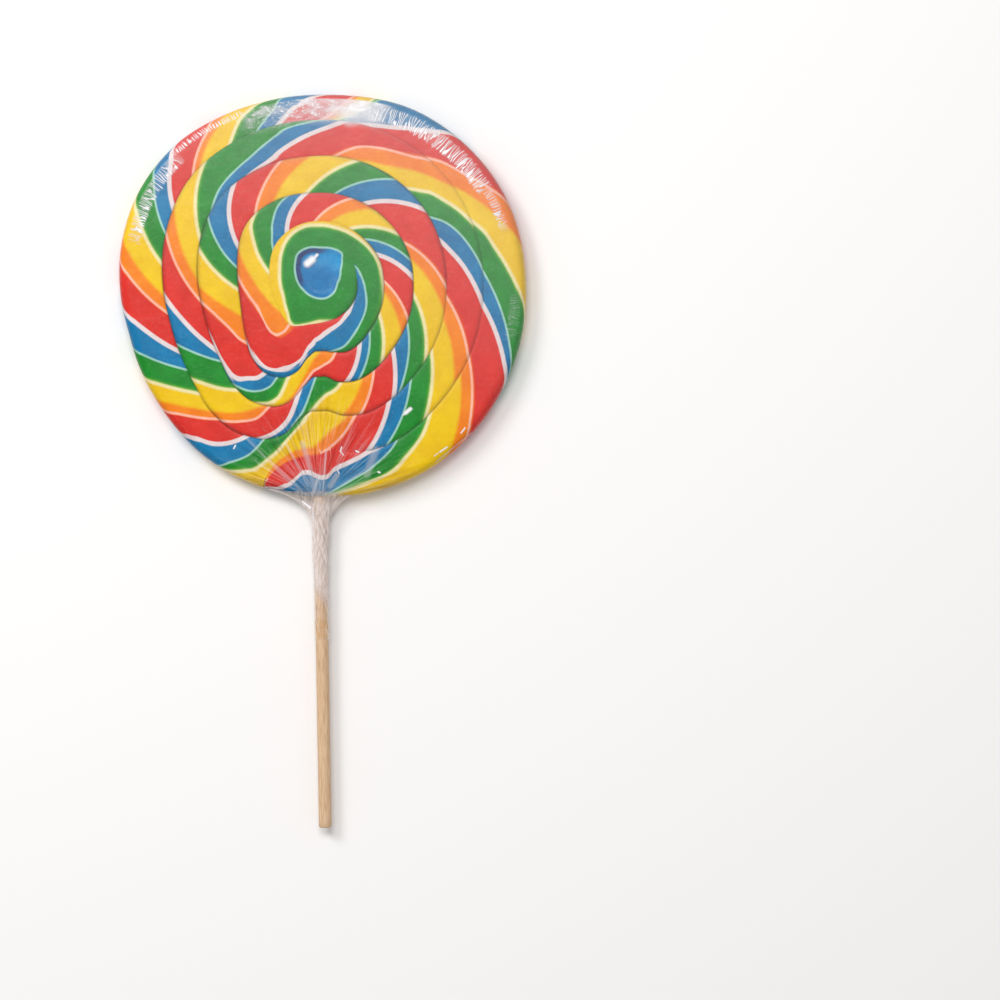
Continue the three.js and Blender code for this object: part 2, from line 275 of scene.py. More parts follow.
# Where each line crosses the middle of the rope, cycle by cycle from the second one on.
# They were counted along an earlier, slightly longer spiral, so the shift and the scale
# make them turns of this one.
CROSSING_SHIFT = 0.3675
CROSSING_SCALE = 0.9965
LINE_CROSSINGS = {
    "white": (
        0.370, 0.672, 0.882, 1.042, 1.28, 1.572, 1.842, 1.975, 2.132, 2.42, 2.692, 2.888,
        3.025, 3.137, 3.283, 3.417, 3.532, 3.753,
    ),
    "pink": (
        0.465, 0.742, 0.932, 1.115, 1.35, 1.677, 1.883, 2.008, 2.197, 2.507, 2.755, 2.92,
        3.06, 3.177, 3.322, 3.462, 3.6, 3.805,
    ),
    "edge": (
        0.512, 0.768, 0.962, 1.142, 1.39, 1.708, 1.902, 2.03, 2.225, 2.55, 2.782, 2.937,
        3.07, 3.195, 3.333, 3.475, 3.625, 3.822,
    ),
    "cream": (
        0.577, 0.817, 0.988, 1.19, 1.455, 1.768, 1.93, 2.063, 2.277, 2.607, 2.822, 2.985,
        3.088, 3.227, 3.36, 3.487, 3.683, 3.862,
    ),
    "pale": (
        0.63, 0.858, 1.018, 1.233, 1.513, 1.815, 1.963, 2.1, 2.367, 2.65, 2.863, 3.007,
        3.113, 3.258, 3.393, 3.505, 3.73, 3.907,
    ),
}
LEAN = 0.27  # how far a line leans across the rope, in cycles
CYCLES = len(LINE_CROSSINGS["white"])
TAIL_CYCLE = CYCLES + 1
NOWHERE = 9.0  # the turn of a line that isn't there
CROSSINGS = 5  # strips of rope that a ray can cross, the core's own not counted
NARROWEST = 0.4
FAR = 20.0  # millimetres from a line that isn't near
RIM_SHARE = 1.0  # the rim's way from face to face, in widths of the rope
BACK_SHARE = 2 + RIM_SHARE  # shares run on from the shown face, round the rim and back in

# The lines beside the kink and at the tail bend too much for a crossing and a lean. Each
# is (share of the rope's width, turns) along the line, by its name and cycle.
BENT_LINES = {
    ("pink", 3): ((0, 1.275), (0.45, 1.293), (0.75, 1.315), (1, 1.337)),
    ("cream", 3): ((0, 1.352), (0.6, 1.355), (0.85, 1.362), (1, 1.375)),
    ("pale", 3): ((0, 1.367), (0.3, 1.37), (0.5, 1.376), (0.75, 1.39), (1, 1.41)),
    ("white", 4): ((0, 1.385), (0.25, 1.39), (0.5, 1.4), (0.75, 1.41), (0.9, 1.426), (1, 1.46)),
    ("pink", 4): ((0, 1.432), (0.2, 1.445), (0.5, 1.475), (0.78, 1.5), (1, 1.517)),
    ("cream", 7): ((0, 2.275), (0.4, 2.29), (0.7, 2.305), (1, 2.315)),
    ("pale", 7): ((0, 2.312), (0.4, 2.318), (0.8, 2.325), (1, 2.335)),
    ("white", 8): ((0, 2.333), (0.5, 2.338), (0.75, 2.345), (1, 2.36)),
    ("pink", 8): ((0, 2.363), (0.4, 2.37), (0.7, 2.385), (1, 2.4)),
    ("pale", 12): ((0, 3.357), (0.5, 3.364), (1, 3.376)),
    ("white", 13): ((0, 3.372), (0.5, 3.385), (0.8, 3.395), (1, 3.405)),
    ("cream", CYCLES): ((0, 4.2), (0.3, 4.215), (0.6, 4.235), (0.85, 4.25), (1, 4.27)),
    ("white", TAIL_CYCLE): ((0, 4.26), (0.3, 4.281), (0.55, 4.295), (0.65, 4.315), (1, 4.3285)),
    ("pink", TAIL_CYCLE): ((0, 4.3), (0.3, 4.339), (1, 4.3455)),
    ("edge", TAIL_CYCLE): ((0, 4.33), (0.3, 4.346), (1, 4.351)),
    ("cream", TAIL_CYCLE): ((0, 4.357), (1, 4.362)),
}


# Lines that were read point by point off the photo, in its pixels, from the rope's inner
# side to its outer one and in places on over the rim: round the core, across the top, and
# beside the stick.
DRAWN_LINES = {
    ("pale", -1): ((354, 262), (357.5, 268), (361.5, 276.5), (364.5, 285.5), (366, 294.5),
        (366.5, 302), (365.5, 310), (363, 318), (359, 325.5), (355, 333), (350, 340), (343, 347),
        (334, 350.5)),
    ("white", 0): ((350, 308), (344, 318.5), (337, 325.5), (329, 331), (320, 337.5), (312, 344.5),
        (307, 351), (299, 360.5), (290, 366.5), (282, 369.5), (275, 370.5), (268, 368), (261, 364),
        (255, 358.5)),
    ("pink", 0): ((291.5, 321), (286, 329.5), (281, 333.5), (276, 334.5), (270.5, 331),
        (266, 324), (260.5, 313.5), (254.5, 303.5), (249.5, 296.5), (244, 288)),
    ("edge", 0): ((273, 306), (266, 298), (260, 290.5), (254, 281.5), (249, 273.5), (245, 266)),
    ("cream", 0): ((267, 270), (262, 262.5), (257.5, 254), (254.5, 245), (252, 235), (251, 226),
        (253, 218), (256, 211.5)),
    ("pale", 0): ((272, 242.5), (272, 234), (272, 226), (273.5, 218), (276, 210), (279, 204.5),
        (284, 199)),
    ("pale", 9): ((236.5, 169), (248, 159), (264.5, 144.5), (275.5, 136), (286.5, 128.5),
        (298, 125), (314, 121)),
    ("white", 10): ((256.5, 169.5), (270, 160), (282, 150), (293.5, 142.5), (309, 134.5),
        (321.5, 129.5), (331, 126), (342, 122)),
    ("pink", 10): ((338, 154.5), (348, 150), (359, 147), (370, 147), (384.5, 149), (398.5, 152.5),
        (413, 156.5), (425, 159)),
    ("edge", 10): ((370, 161.5), (384.5, 165), (398.5, 167.5), (413, 170.5), (427, 175),
        (441.5, 181.5), (450, 185)),
    ("cream", 10): ((408, 188.5), (420, 190.5), (430, 192.5), (443, 199.5), (455.5, 207.5),
        (473.5, 224)),
    ("pale", 10): ((431.5, 217.5), (445.5, 222.5), (458.5, 232.5), (470, 246.5), (478.5, 260.5),
        (483.5, 271.5)),
    ("white", 11): ((441.5, 242), (451.5, 252), (461.5, 263.5), (470, 276.5), (477, 290)),
    ("cream", 15): ((231, 140), (233, 134.5), (236.5, 126), (242, 117), (246.5, 113),
        (254, 106.5)),
    ("pale", 15): ((256.5, 131.5), (263, 122.5), (268, 116), (273, 110.5), (276, 105), (281, 99)),
    ("white", 16): ((275.5, 128), (284.5, 117.5), (289, 112.5), (294, 108), (302, 103), (323, 95)),
    ("pink", 16): ((320.5, 120), (328.5, 116), (336.5, 109), (341, 106), (351.5, 98)),
    ("edge", 16): ((329.5, 120), (342, 112.5), (357, 98)),
    ("cream", 16): ((335.5, 121), (353.5, 114.5), (371.5, 100.5)),
    ("pale", 16): ((338, 121.5), (348, 118), (359, 112.5), (370, 106), (375.5, 102)),
    ("white", 17): ((370, 125), (391.5, 127), (405.5, 128), (420, 130), (434.5, 131.5),
        (455.5, 136.5)),
    ("pink", 17): ((426.5, 158), (441.5, 162), (455.5, 169), (468.5, 176.5), (475.5, 179.5),
        (493, 190.5), (505.5, 201.5)),
    ("edge", 17): ((450, 185), (461.5, 190.5), (475.5, 199), (487, 207.5), (495.5, 215),
        (504.5, 223.5), (513, 232.5)),
    ("cream", 17): ((472.5, 221.5), (484.5, 232), (494.5, 246.5), (504.5, 262), (513, 277.5)),
    ("pink", 12): ((355, 415), (345, 432), (335, 443), (330, 447.5)),
    ("cream", 12): ((310, 412), (300, 426), (290, 437), (280, 449), (270, 458), (260, 466)),
    ("pale", CYCLES): ((398, 438), (392.5, 447.5), (385.5, 455.5), (376.5, 463.5), (367.5, 471),
        (358, 476.5), (344.5, 484.5)),
}
# The cream line that closes the ring round the core winds in from far back.
RING_END = ((0, -0.5), (0.5, -0.35), (0.7, -0.25), (0.8, -0.15), (0.9, 0), (0.95, 0.05), (1, 0.09))
NUDGE = 1e-3  # the step in share over which a line's lean is measured
BEYOND = 0.15  # how far past its ends a line keeps its bend, in widths of the rope


def strip_creases(strip, fraction):
    """Radii of a strip's two sides and of the face's edge, where the outermost one ends."""
    edge = face_reach(turn_angle(fraction))
    inner = crease_radius(strip + fraction) if strip >= 0 else CORE_RADIUS + 0 * edge
    outer = crease_radius(strip + 1 + fraction) if strip + 1 < CROSSINGS else edge
    return inner, outer, edge


def rope_places(points):
    """(share of the width, turns) of a line's points, all on the turn where its middle is."""
    angle, radius = photo_place(points)
    fraction = np.mod((COIL_START - angle) / 360, 1)
    excess = np.clip((radius - face_reach(angle)) / SHOULDER, 0, 1)
    around = 0.5 * RIM_SHARE * (1 - np.sqrt(1 - excess))
    shares = []
    for strip in range(-1, CROSSINGS):
        inner, outer, _ = strip_creases(strip, fraction)
        width = np.maximum(outer - inner, NARROWEST)
        share = (np.minimum(radius, face_reach(angle)) - inner) / width + around
        shares.append(np.where(strip + fraction < CREASE_TURNS, share, FAR))
    shares = np.array(shares)
    middle = len(points) // 2
    turn = np.argmin(np.abs(shares[:, middle] - 0.5)) - 1 + fraction[middle]
    strips = np.round(turn - fraction).astype(int)
    return sorted(zip(shares[strips + 1, np.arange(len(points))], strips + fraction))


def bent_turns(knots, shares):
    """Turns along a bent line. Well past its ends it goes on as it leans on the whole."""
    near = np.clip(shares, knots[0][0] - BEYOND, knots[-1][0] + BEYOND)
    lean = (knots[-1][1] - knots[0][1]) / (knots[-1][0] - knots[0][0])
    return smooth_bend(knots, near) + lean * (shares - near)


def line_turns(name, cycle, shares):
    """Where one line lies, in turns, at each share of the rope's width."""
    if (name, cycle) == ("cream", -1):
        return bent_turns(RING_END, shares)
    if (name, cycle) in DRAWN_LINES:
        return bent_turns(rope_places(DRAWN_LINES[name, cycle]), shares)
    if (name, cycle) in BENT_LINES:
        return bent_turns(BENT_LINES[name, cycle], shares)
    if cycle < 1 or cycle > CYCLES:
        return np.full(len(shares), NOWHERE if cycle > 0 else -NOWHERE)
    whites = LINE_CROSSINGS["white"]
    ahead = whites[cycle] if cycle < CYCLES else LINE_CROSSINGS["pale"][-1]
    lean = LEAN * (ahead - whites[cycle - 1])
    crossing = LINE_CROSSINGS[name][cycle - 1] * CROSSING_SCALE + CROSSING_SHIFT
    return crossing + lean * (shares - 0.5)


class StripeTable:
    """Every line's turns, and its lean, at each share of the rope's width."""

    def __init__(self, shares):
        self.shares = np.asarray(shares, float)
        cycles = range(-1, TAIL_CYCLE + 1)
        self.turns = {}
        self.leans = {}
        for name in LINE_NAMES:
            at = [line_turns(name, n, self.shares) for n in cycles]
            past = [line_turns(name, n, self.shares + NUDGE) for n in cycles]
            self.turns[name] = np.array(at)
            self.leans[name] = (np.array(past) - np.array(at)) / NUDGE

    def phase(self, turn, row):
        """Phase at one share of the width, for an array of turns."""
        phases, turns = [], []
        for i in range(TAIL_CYCLE + 2):
            for name in LINE_NAMES:
                at = self.turns[name][i, row]
                if abs(at) < NOWHERE:
                    phases.append(i - 1 + LINE_PHASES[name])
                    turns.append(at)
        turns = np.maximum.accumulate(turns) + np.arange(len(turns)) * 1e-7
        phase = np.interp(turn, turns, phases)
        slope = (phases[1] - phases[0]) / (turns[1] - turns[0])
        before = phases[0] + (turn - turns[0]) * slope
        return np.where(turn < turns[0], np.maximum(before, phases[0] - 0.1), phase)

    def distance(self, name, cycle, turn, row, mm_per_turn, width, drift):
        """Signed millimetres from a line of this name, measured straight across it."""
        i = np.clip(cycle + 1, 0, TAIL_CYCLE + 1)
        lean = self.leans[name][i, row]
        along = (1 + lean * drift / width) / mm_per_turn
        across = lean / width
        return (turn - self.turns[name][i, row]) / np.hypot(along, across)


# The core, in the photo's pixels: the edge of the blue spot in the middle, and of the
# green ring round it. Past the crease at its lower right the ring is kept wide.
SPOT_POINTS = (
    (340.5, 272), (342, 260), (341.5, 253), (334, 249), (320.5, 247.5), (307, 248), (298, 253.5),
    (295, 264), (296, 277), (302, 288.5), (312, 296.5), (324, 298.5), (333, 293.5), (338, 282),
)
RING_POINTS = (
    (380.5, 268), (371, 250), (354, 235.5), (331.5, 226.5), (318.5, 225), (304, 226.5), (294, 232),
    (286, 241), (281, 254), (279.5, 270), (282, 292), (287.5, 313), (290, 322), (293, 325.5),
    (304, 325), (320.5, 321.5), (340, 320), (360, 312), (375, 293),
)
SPOT_EDGE = closed_curve(SPOT_POINTS)
RING_EDGE = closed_curve(RING_POINTS)


def core_phase(angle, radius):
    spot = round_curve(SPOT_EDGE, angle)
    ring = round_curve(RING_EDGE, angle)
    outwards = (radius - spot) / (ring - spot)
    between = PALE - 1 + outwards * (CREAM - PALE)
    return np.clip(between, CREAM - 1.1, PALE - 0.94)


def core_distance(name, angle, radius, rope=1.0):
    """Signed millimetres from the spot's or the ring's edge, more inwards. The lines that
    aren't in the core are far off, on the side where they lie on the rope."""
    if name == "pale":
        return round_curve(SPOT_EDGE, angle) - radius
    if name == "cream":
        return round_curve(RING_EDGE, angle) - radius
    return np.copysign(FAR, rope) + 0 * radius


# --------------------------------------------------------------- mesh helpers


def make_object(name, points, faces, materials):
    mesh = bpy.data.meshes.new(name)
    mesh.from_pydata((np.asarray(points) * MM).tolist(), [], faces)
    mesh.validate()
    for material in materials:
        mesh.materials.append(material)
    mesh.polygons.foreach_set("use_smooth", np.ones(len(mesh.polygons), bool))
    obj = bpy.data.objects.new(name, mesh)
    bpy.context.scene.collection.objects.link(obj)
    return obj


def add_attribute(obj, name, values, domain):
    attribute = obj.data.attributes.new(name, "FLOAT", domain)
    attribute.data.foreach_set("value", np.asarray(values, np.float32).ravel())


def tube_faces(rows, sides, first):
    """Quads of a tube of rows of points, wound so that they face outwards."""
    faces = []
    for j in range(rows - 1):
        a, b = first + j * sides, first + (j + 1) * sides
        for i in range(sides):
            k = (i + 1) % sides
            faces.append((a + i, b + i, b + k, a + k))
    return faces


# --------------------------------------------------------------- candy


COLUMNS = 540  # rays round the coil's centre, closer together where the rope steps
STEP_FROM, STEP_TO, STEP_DENSITY = 0.2, 0.42, 1.9
SHARES = np.array([
    0, 0.018, 0.045, 0.085, 0.14, 0.21, 0.29, 0.37, 0.45, 0.53, 0.61, 0.69, 0.77, 0.84, 0.9,
    0.945, 0.978, 1.0,
])
BACK_SHARES = np.array([0, 0.06, 0.15, 0.32, 0.5, 0.68, 0.85, 0.94, 1.0])
CORE_RINGS = np.array([
    0, 0.15, 0.3, 0.42, 0.52, 0.6, 0.66, 0.71, 0.76, 0.81, 0.86, 0.91, 0.96, 1.0,
])
BACK_CORE_RINGS = np.array([0, 0.35, 0.65, 0.85, 1.0])
RIM_ROWS = 14
CORNERS = ((0, 0), (1, 0), (1, 1), (0, 1))  # of a quad, as steps along its two directions


def column_fractions():
    """Fractions of a turn for the rays, with more of them where the rope steps."""
    fine = np.linspace(0, 1, 4001)
    middle = (fine[1:] + fine[:-1]) / 2
    density = np.where((middle > STEP_FROM) & (middle < STEP_TO), STEP_DENSITY, 1.0)
    count = np.concatenate([[0], np.cumsum(density)])
    return np.interp(np.linspace(0, count[-1], COLUMNS + 1), count, fine)


class Strip:
    """One turn of the rope, as a grid of rays and of shares of its width."""

    def __init__(self, number, fractions, shares):
        self.number = number
        self.turn = number + fractions[:, None] + 0 * shares[None, :]
        self.angle = turn_angle(self.turn)
        sides = strip_creases(number, fractions)
        self.inner, self.outer, self.edge = (radii[:, None] for radii in sides)
        self.radius = self.inner + (self.outer - self.inner) * shares
        self.width = np.maximum(self.outer - self.inner, NARROWEST) + 0 * self.radius
        self.drift = np.gradient(self.radius, fractions, axis=0)

    def creases(self):
        """Millimetres from the creases on the inner and on the outer side, with strengths."""
        low = crease_strength(self.turn) if self.number >= 0 else 0 * self.radius
        return (self.radius - self.inner, low, self.outer - self.radius,
                crease_strength(self.turn + 1))


# The rope's tail, which is pressed flat beside the stick, with no crease to the turn
# inside it. Its white line and the start of its red go back and forth, so they are given
# along the coil, in the photo's pixels.
TAIL_WHITE_POINTS = (
    (383, 444.5), (367.5, 452.5), (358, 458), (349, 462.5), (340, 466.5), (333.5, 470),
    (327.5, 476.5), (322, 477.5), (315.5, 475.5), (309, 472.5), (303.5, 472.5), (294.5, 480),
    (283.5, 487.5), (276, 489.5),
)
TAIL_RED_POINTS = (
    (330, 448.5), (325, 450.5), (318.5, 454), (305, 455.5), (290, 460), (280, 466), (270, 475),
    (265.5, 482.5),
)
TAIL_NEIGHBOUR_CYCLE = 12  # the cycle that the tail's red lies in, on the turn inside it
TAIL_WHITE = coil_knots(TAIL_WHITE_POINTS)
TAIL_RED = coil_knots(TAIL_RED_POINTS)
TAIL_SLANT = 0.93
TAIL_END = 0.352
TAIL_ORANGE = 2.6  # the orange beside the tail's red, across
TAIL_RED_MARGIN = 0.55  # how far the tail's red reaches over the turn inside it
TAIL_LINE_FADE = (0.305, 0.312)
RED_SOFTNESS = 0.027  # phase a millimetre where the red has no line at its edge


class Tail:
    """Distances from the tail's two wavy lines, over the two outermost turns."""

    def __init__(self, strip):
        fraction = strip.turn - strip.number
        self.last = strip.number == CROSSINGS - 1
        self.cycle = TAIL_CYCLE if self.last else TAIL_NEIGHBOUR_CYCLE
        self.white = (smooth_bend(TAIL_WHITE, fraction) - strip.radius) * TAIL_SLANT
        self.red = (strip.radius - smooth_bend(TAIL_RED, fraction)) * TAIL_SLANT
        within = fraction < TAIL_END
        self.in_white = (fraction > TAIL_WHITE[0][0]) & within & self.last
        self.near_red = (fraction > TAIL_RED[0][0]) & within
        self.in_red = self.near_red & (self.last | (self.red > -TAIL_RED_MARGIN))
        self.line_end = FAR * smooth(*TAIL_LINE_FADE, fraction)

    def phase(self, phase):
        soft = self.cycle + PINK - 0.015 - RED_SOFTNESS * self.red
        phase = np.where(self.in_red, soft, phase)
        red_side = np.maximum(phase, TAIL_CYCLE + 0.001)
        blue_side = TAIL_CYCLE - 0.001 + np.clip(self.white * 0.03, -0.1, 0)
        blue_side = np.where(phase < TAIL_CYCLE - 0.1, phase, blue_side)
        return np.where(self.in_white, np.where(self.white > 0, red_side, blue_side), phase)

    def distance(self, name, gap, part):
        if name == "white":
            return np.where(self.in_white[part], self.white[part], gap)
        if name == "pink" and self.last:
            return np.where(self.in_red[part], self.red[part] + self.line_end[part], gap)
        if name == "edge":
            beside = -self.red[part] - TAIL_ORANGE
            near = self.near_red[part]
            return np.where(near, beside if self.last else np.minimum(gap, beside), gap)
        return gap


def stripe_corners(strip, table):
    """Phase and line distances at the corners of every quad of a strip."""
    rows = np.arange(strip.radius.shape[1])
    phase = np.stack([table.phase(strip.turn[:, j], j) for j in rows], axis=1)
    core = core_phase(strip.angle, strip.radius)
    mix = smooth(-0.05, 0.05, strip.turn)
    phase = core * (1 - mix) + phase * mix
    tail = Tail(strip) if strip.number >= CROSSINGS - 2 and table.shares[0] == 0 else None
    if tail:
        phase = tail.phase(phase)
    middle = quad_corners(phase).mean(axis=-1)
    values = [quad_corners(phase)]
    for name in LINE_NAMES:
        cycle = np.round(middle - LINE_PHASES[name]).astype(int)
        corners = []
        for along, across in CORNERS:
            part = (slice(along, strip.turn.shape[0] - 1 + along),
                    slice(across, strip.turn.shape[1] - 1 + across))
            row = (rows[None, :] + 0 * rows[0])[:, part[1]] + 0 * cycle
            rope = table.distance(name, cycle, strip.turn[part], row,
                                  2 * math.pi * strip.radius[part], strip.width[part],
                                  strip.drift[part])
            centre = core_distance(name, strip.angle[part], strip.radius[part], rope)
            gap = centre * (1 - mix[part]) + rope * mix[part]
            if tail:
                gap = tail.distance(name, gap, part)
            corners.append(np.clip(gap, -FAR, FAR))
        values.append(np.stack(corners, axis=-1))
    return values


def quad_corners(values):
    return np.stack([values[:-1, :-1], values[1:, :-1], values[1:, 1:], values[:-1, 1:]], axis=-1)


def groove(distance, strength):
    """How far the face is below its level near a crease."""
    crown = ROPE_CROWN * strength * (1 - smooth(0, CROWN_WIDTH, distance))
    return crown + CREASE_DEPTH * strength * np.exp(-(distance / GROOVE_WIDTH) ** GROOVE_POWER)


def face_level(strip):
    """Height of the shown face over a strip of rope."""
    low, low_strength, high, high_strength = strip.creases()
    low_strength, high_strength = (low_strength * crease_look(strip.turn),
                                   high_strength * crease_look(strip.turn + 1))
    sunk = np.maximum(groove(low, low_strength), groove(high, high_strength))
    edge = ROPE_CROWN * (1 - smooth(0, CROWN_WIDTH, strip.edge - strip.radius))
    return THICKNESS - np.maximum(sunk, edge) - dimple(strip.angle, strip.radius)


def back_level(strip):
    low, low_strength, high, high_strength = strip.creases()
    low = low_strength * np.exp(-(low / BACK_GROOVE_WIDTH) ** GROOVE_POWER)
    high = high_strength * np.exp(-(high / BACK_GROOVE_WIDTH) ** GROOVE_POWER)
    return CANDY_LIFT + BACK_CREASE_DEPTH * np.maximum(low, high)


def dimple(angle, radius):
    """The hollow's depth: a bulging bottom and a steep wall inside the spot's edge."""
    share = radius / round_curve(SPOT_EDGE, angle)
    bulge = DIMPLE_MIDDLE + (1 - DIMPLE_MIDDLE) * smooth(0, DIMPLE_BULGE, share)
    return DIMPLE_DEPTH * bulge * (1 - smooth(*DIMPLE_WALL, share))


class CandyMesh:
    """Collects the candy's points, faces and the stripe values of every face's corners."""

    def __init__(self):
        self.points = []
        self.count = 0
        self.faces = []
        self.corners = []

    def add_points(self, points):
        points = np.asarray(points).reshape(-1, 3)
        ids = np.arange(self.count, self.count + len(points))
        self.points.append(points)
        self.count += len(points)
        return ids

    def add_sheet(self, ids, values, flip):
        """Faces of a sheet of point numbers, without those that have collapsed."""
        quads = quad_corners(ids).reshape(-1, 4)
        stacked = np.stack(values, axis=-1).reshape(len(quads), 4, -1)
        for quad, corner in zip(quads.tolist(), stacked.tolist()):
            kept = [i for i in range(4) if quad[i] != quad[i - 1]]
            if len({quad[i] for i in kept}) < 3:
                continue
            order = kept[::-1] if flip else kept
            self.faces.append([quad[i] for i in order])
            self.corners.extend(corner[i] for i in order)


def add_strips(mesh, strips, levels, face_ids):
    """Point numbers of each strip, with the points on a crease or the edge shared."""
    rays, rows = strips[0].radius.shape
    rays -= 1
    all_ids = []
    for strip, level in zip(strips, levels):
        ids = np.zeros((rays + 1, rows), int)
        part = (slice(0, rays), slice(0, rows - 1))
        points = polar(strip.angle[part], strip.radius[part], level[part])
        ids[part] = mesh.add_points(points).reshape(rays, rows - 1)
        on_edge = strip.radius[part] > strip.edge[:rays] - 1e-6
        ids[part] = np.where(on_edge, face_ids[:, None], ids[part])
        all_ids.append(ids)
    for s, ids in enumerate(all_ids):
        last = s + 1 == len(all_ids)
        ids[:rays, -1] = face_ids if last else all_ids[s + 1][:rays, 0]
    all_ids[0][0, :] = all_ids[1][0, 0]  # the first strip has no width at its start
    for s, ids in enumerate(all_ids):
        ids[rays] = face_ids[0] if s + 1 == len(all_ids) else all_ids[s + 1][0]
    return all_ids


def crease_corners(strip):
    """Millimetres from the creases at each quad's corners, far where one fades out."""
    low, low_strength, high, high_strength = strip.creases()
    look = np.where(low < high, crease_look(strip.turn), crease_look(strip.turn + 1))
    return [quad_corners(low + CREASE_FAR * (1 - low_strength)),
            quad_corners(high + CREASE_FAR * (1 - high_strength)),
            quad_corners(look)]


def add_face(mesh, fractions, shares, rings, back, face_ids):
    """One face of the disc: the rope's strips, and the core's rings inside them."""
    strips = [Strip(number, fractions, shares) for number in range(-1, CROSSINGS)]
    table = StripeTable(BACK_SHARE - shares if back else shares)
    levels = [back_level(strip) if back else face_level(strip) for strip in strips]
    all_ids = add_strips(mesh, strips, levels, face_ids)
    for strip, ids in zip(strips, all_ids):
        values = stripe_corners(strip, table) + crease_corners(strip)
        mesh.add_sheet(ids, values, flip=not back)
    add_core(mesh, fractions, rings, all_ids[0][:, 0], back)


def add_core(mesh, fractions, rings, edge_ids, back):
    rays = len(fractions) - 1
    angle = turn_angle(fractions)[:, None] + 0 * rings
    radius = rings * CORE_RADIUS + 0 * angle
    level = CANDY_LIFT + 0 * radius if back else THICKNESS - dimple(angle, radius)
    part = (slice(0, rays), slice(1, -1))
    ids = np.zeros(angle.shape, int)
    ids[part] = mesh.add_points(polar(angle[part], radius[part], level[part])).reshape(rays, -1)
    ids[:, 0] = mesh.add_points(polar(0, 0, level[0, 0]))[0]
    ids[:rays, -1] = edge_ids[:rays]
    ids[rays] = ids[0]
    values = [quad_corners(core_phase(angle, radius))]
    values += [quad_corners(core_distance(name, angle, radius)) for name in LINE_NAMES]
    outside = CORE_RADIUS - radius
    first_turn = np.mod(fractions, 1)[:, None] + 0 * rings
    strength = crease_strength(first_turn) * (crease_radius(first_turn) < CORE_RADIUS + 0.05)
    values += [quad_corners(0 * radius + CREASE_FAR),
               quad_corners(outside + CREASE_FAR * (1 - strength)),
               quad_corners(0 * radius + 1)]
    mesh.add_sheet(ids, values, flip=not back)


def add_rim(mesh, fractions, shown_ids, back_ids):
    """The rounded rim. The stripes go on round it, and lean on as they go."""
    rays = len(fractions) - 1
    tilts = np.radians(np.linspace(90, -90, RIM_ROWS + 1))
    out = np.maximum(np.cos(tilts), 0) ** RIM_FULLNESS
    up = np.sign(tilts) * np.abs(np.sin(tilts)) ** RIM_FULLNESS
    top_half, low_half = THICKNESS - ROPE_CROWN - MID_Z, MID_Z - CANDY_LIFT
    z = MID_Z + np.where(up > 0, top_half, low_half) * up
    path = np.concatenate([[0], np.cumsum(np.hypot(np.diff(out * SHOULDER), np.diff(z)))])
    shares = 1 + RIM_SHARE * path / path[-1]
    strip = Strip(CROSSINGS - 1, fractions, shares)
    strip.turn = np.where(strip.turn < CREASE_TURNS, strip.turn, strip.turn - 1)
    strip.radius = face_reach(turn_angle(fractions))[:, None] + SHOULDER * out
    strip.width = path[-1] / RIM_SHARE + 0 * strip.radius
    strip.drift = 0 * strip.radius
    part = (slice(0, rays), slice(1, -1))
    ids = np.zeros(strip.radius.shape, int)
    points = polar(strip.angle[part], strip.radius[part], (z + 0 * strip.radius)[part])
    ids[part] = mesh.add_points(points).reshape(rays, -1)
    ids[:rays, 0] = shown_ids
    ids[:rays, -1] = back_ids
    ids[rays] = ids[0]
    far = quad_corners(0 * strip.radius + CREASE_FAR)
    values = stripe_corners(strip, StripeTable(shares)) + [far, far, far]
    mesh.add_sheet(ids, values, flip=True)


def build_candy(material):
    mesh = CandyMesh()
    fractions = column_fractions()
    angles = turn_angle(fractions[:-1])
    edge = face_reach(angles)
    shown_ids = mesh.add_points(polar(angles, edge, THICKNESS - ROPE_CROWN))
    back_ids = mesh.add_points(polar(angles, edge, CANDY_LIFT))
    add_face(mesh, fractions, SHARES, CORE_RINGS, False, shown_ids)
    add_face(mesh, fractions, BACK_SHARES, BACK_CORE_RINGS, True, back_ids)
    add_rim(mesh, fractions, shown_ids, back_ids)
    obj = make_object("candy_swirl", np.concatenate(mesh.points), mesh.faces, [material])
    values = np.array(mesh.corners)
    names = ("phase",) + LINE_NAMES + ("inner_crease", "outer_crease", "crease_look")
    for i, name in enumerate(names):
        add_attribute(obj, name, values[:, i], "CORNER")
    return obj


# ------------------------------------------------------------- materials


def linear(red, green, blue):
    """A colour from 0-255 display values to the linear values that shaders take."""
    def channel(c):
        c = c / 255
        return c / 12.92 if c <= 0.04045 else ((c + 0.055) / 1.055) ** 2.4
    return (channel(red), channel(green), channel(blue), 1.0)


MIX_COLOUR_A = 6  # the Mix node's colour sockets have the same names as its others
MIX_COLOUR_OUT = 2


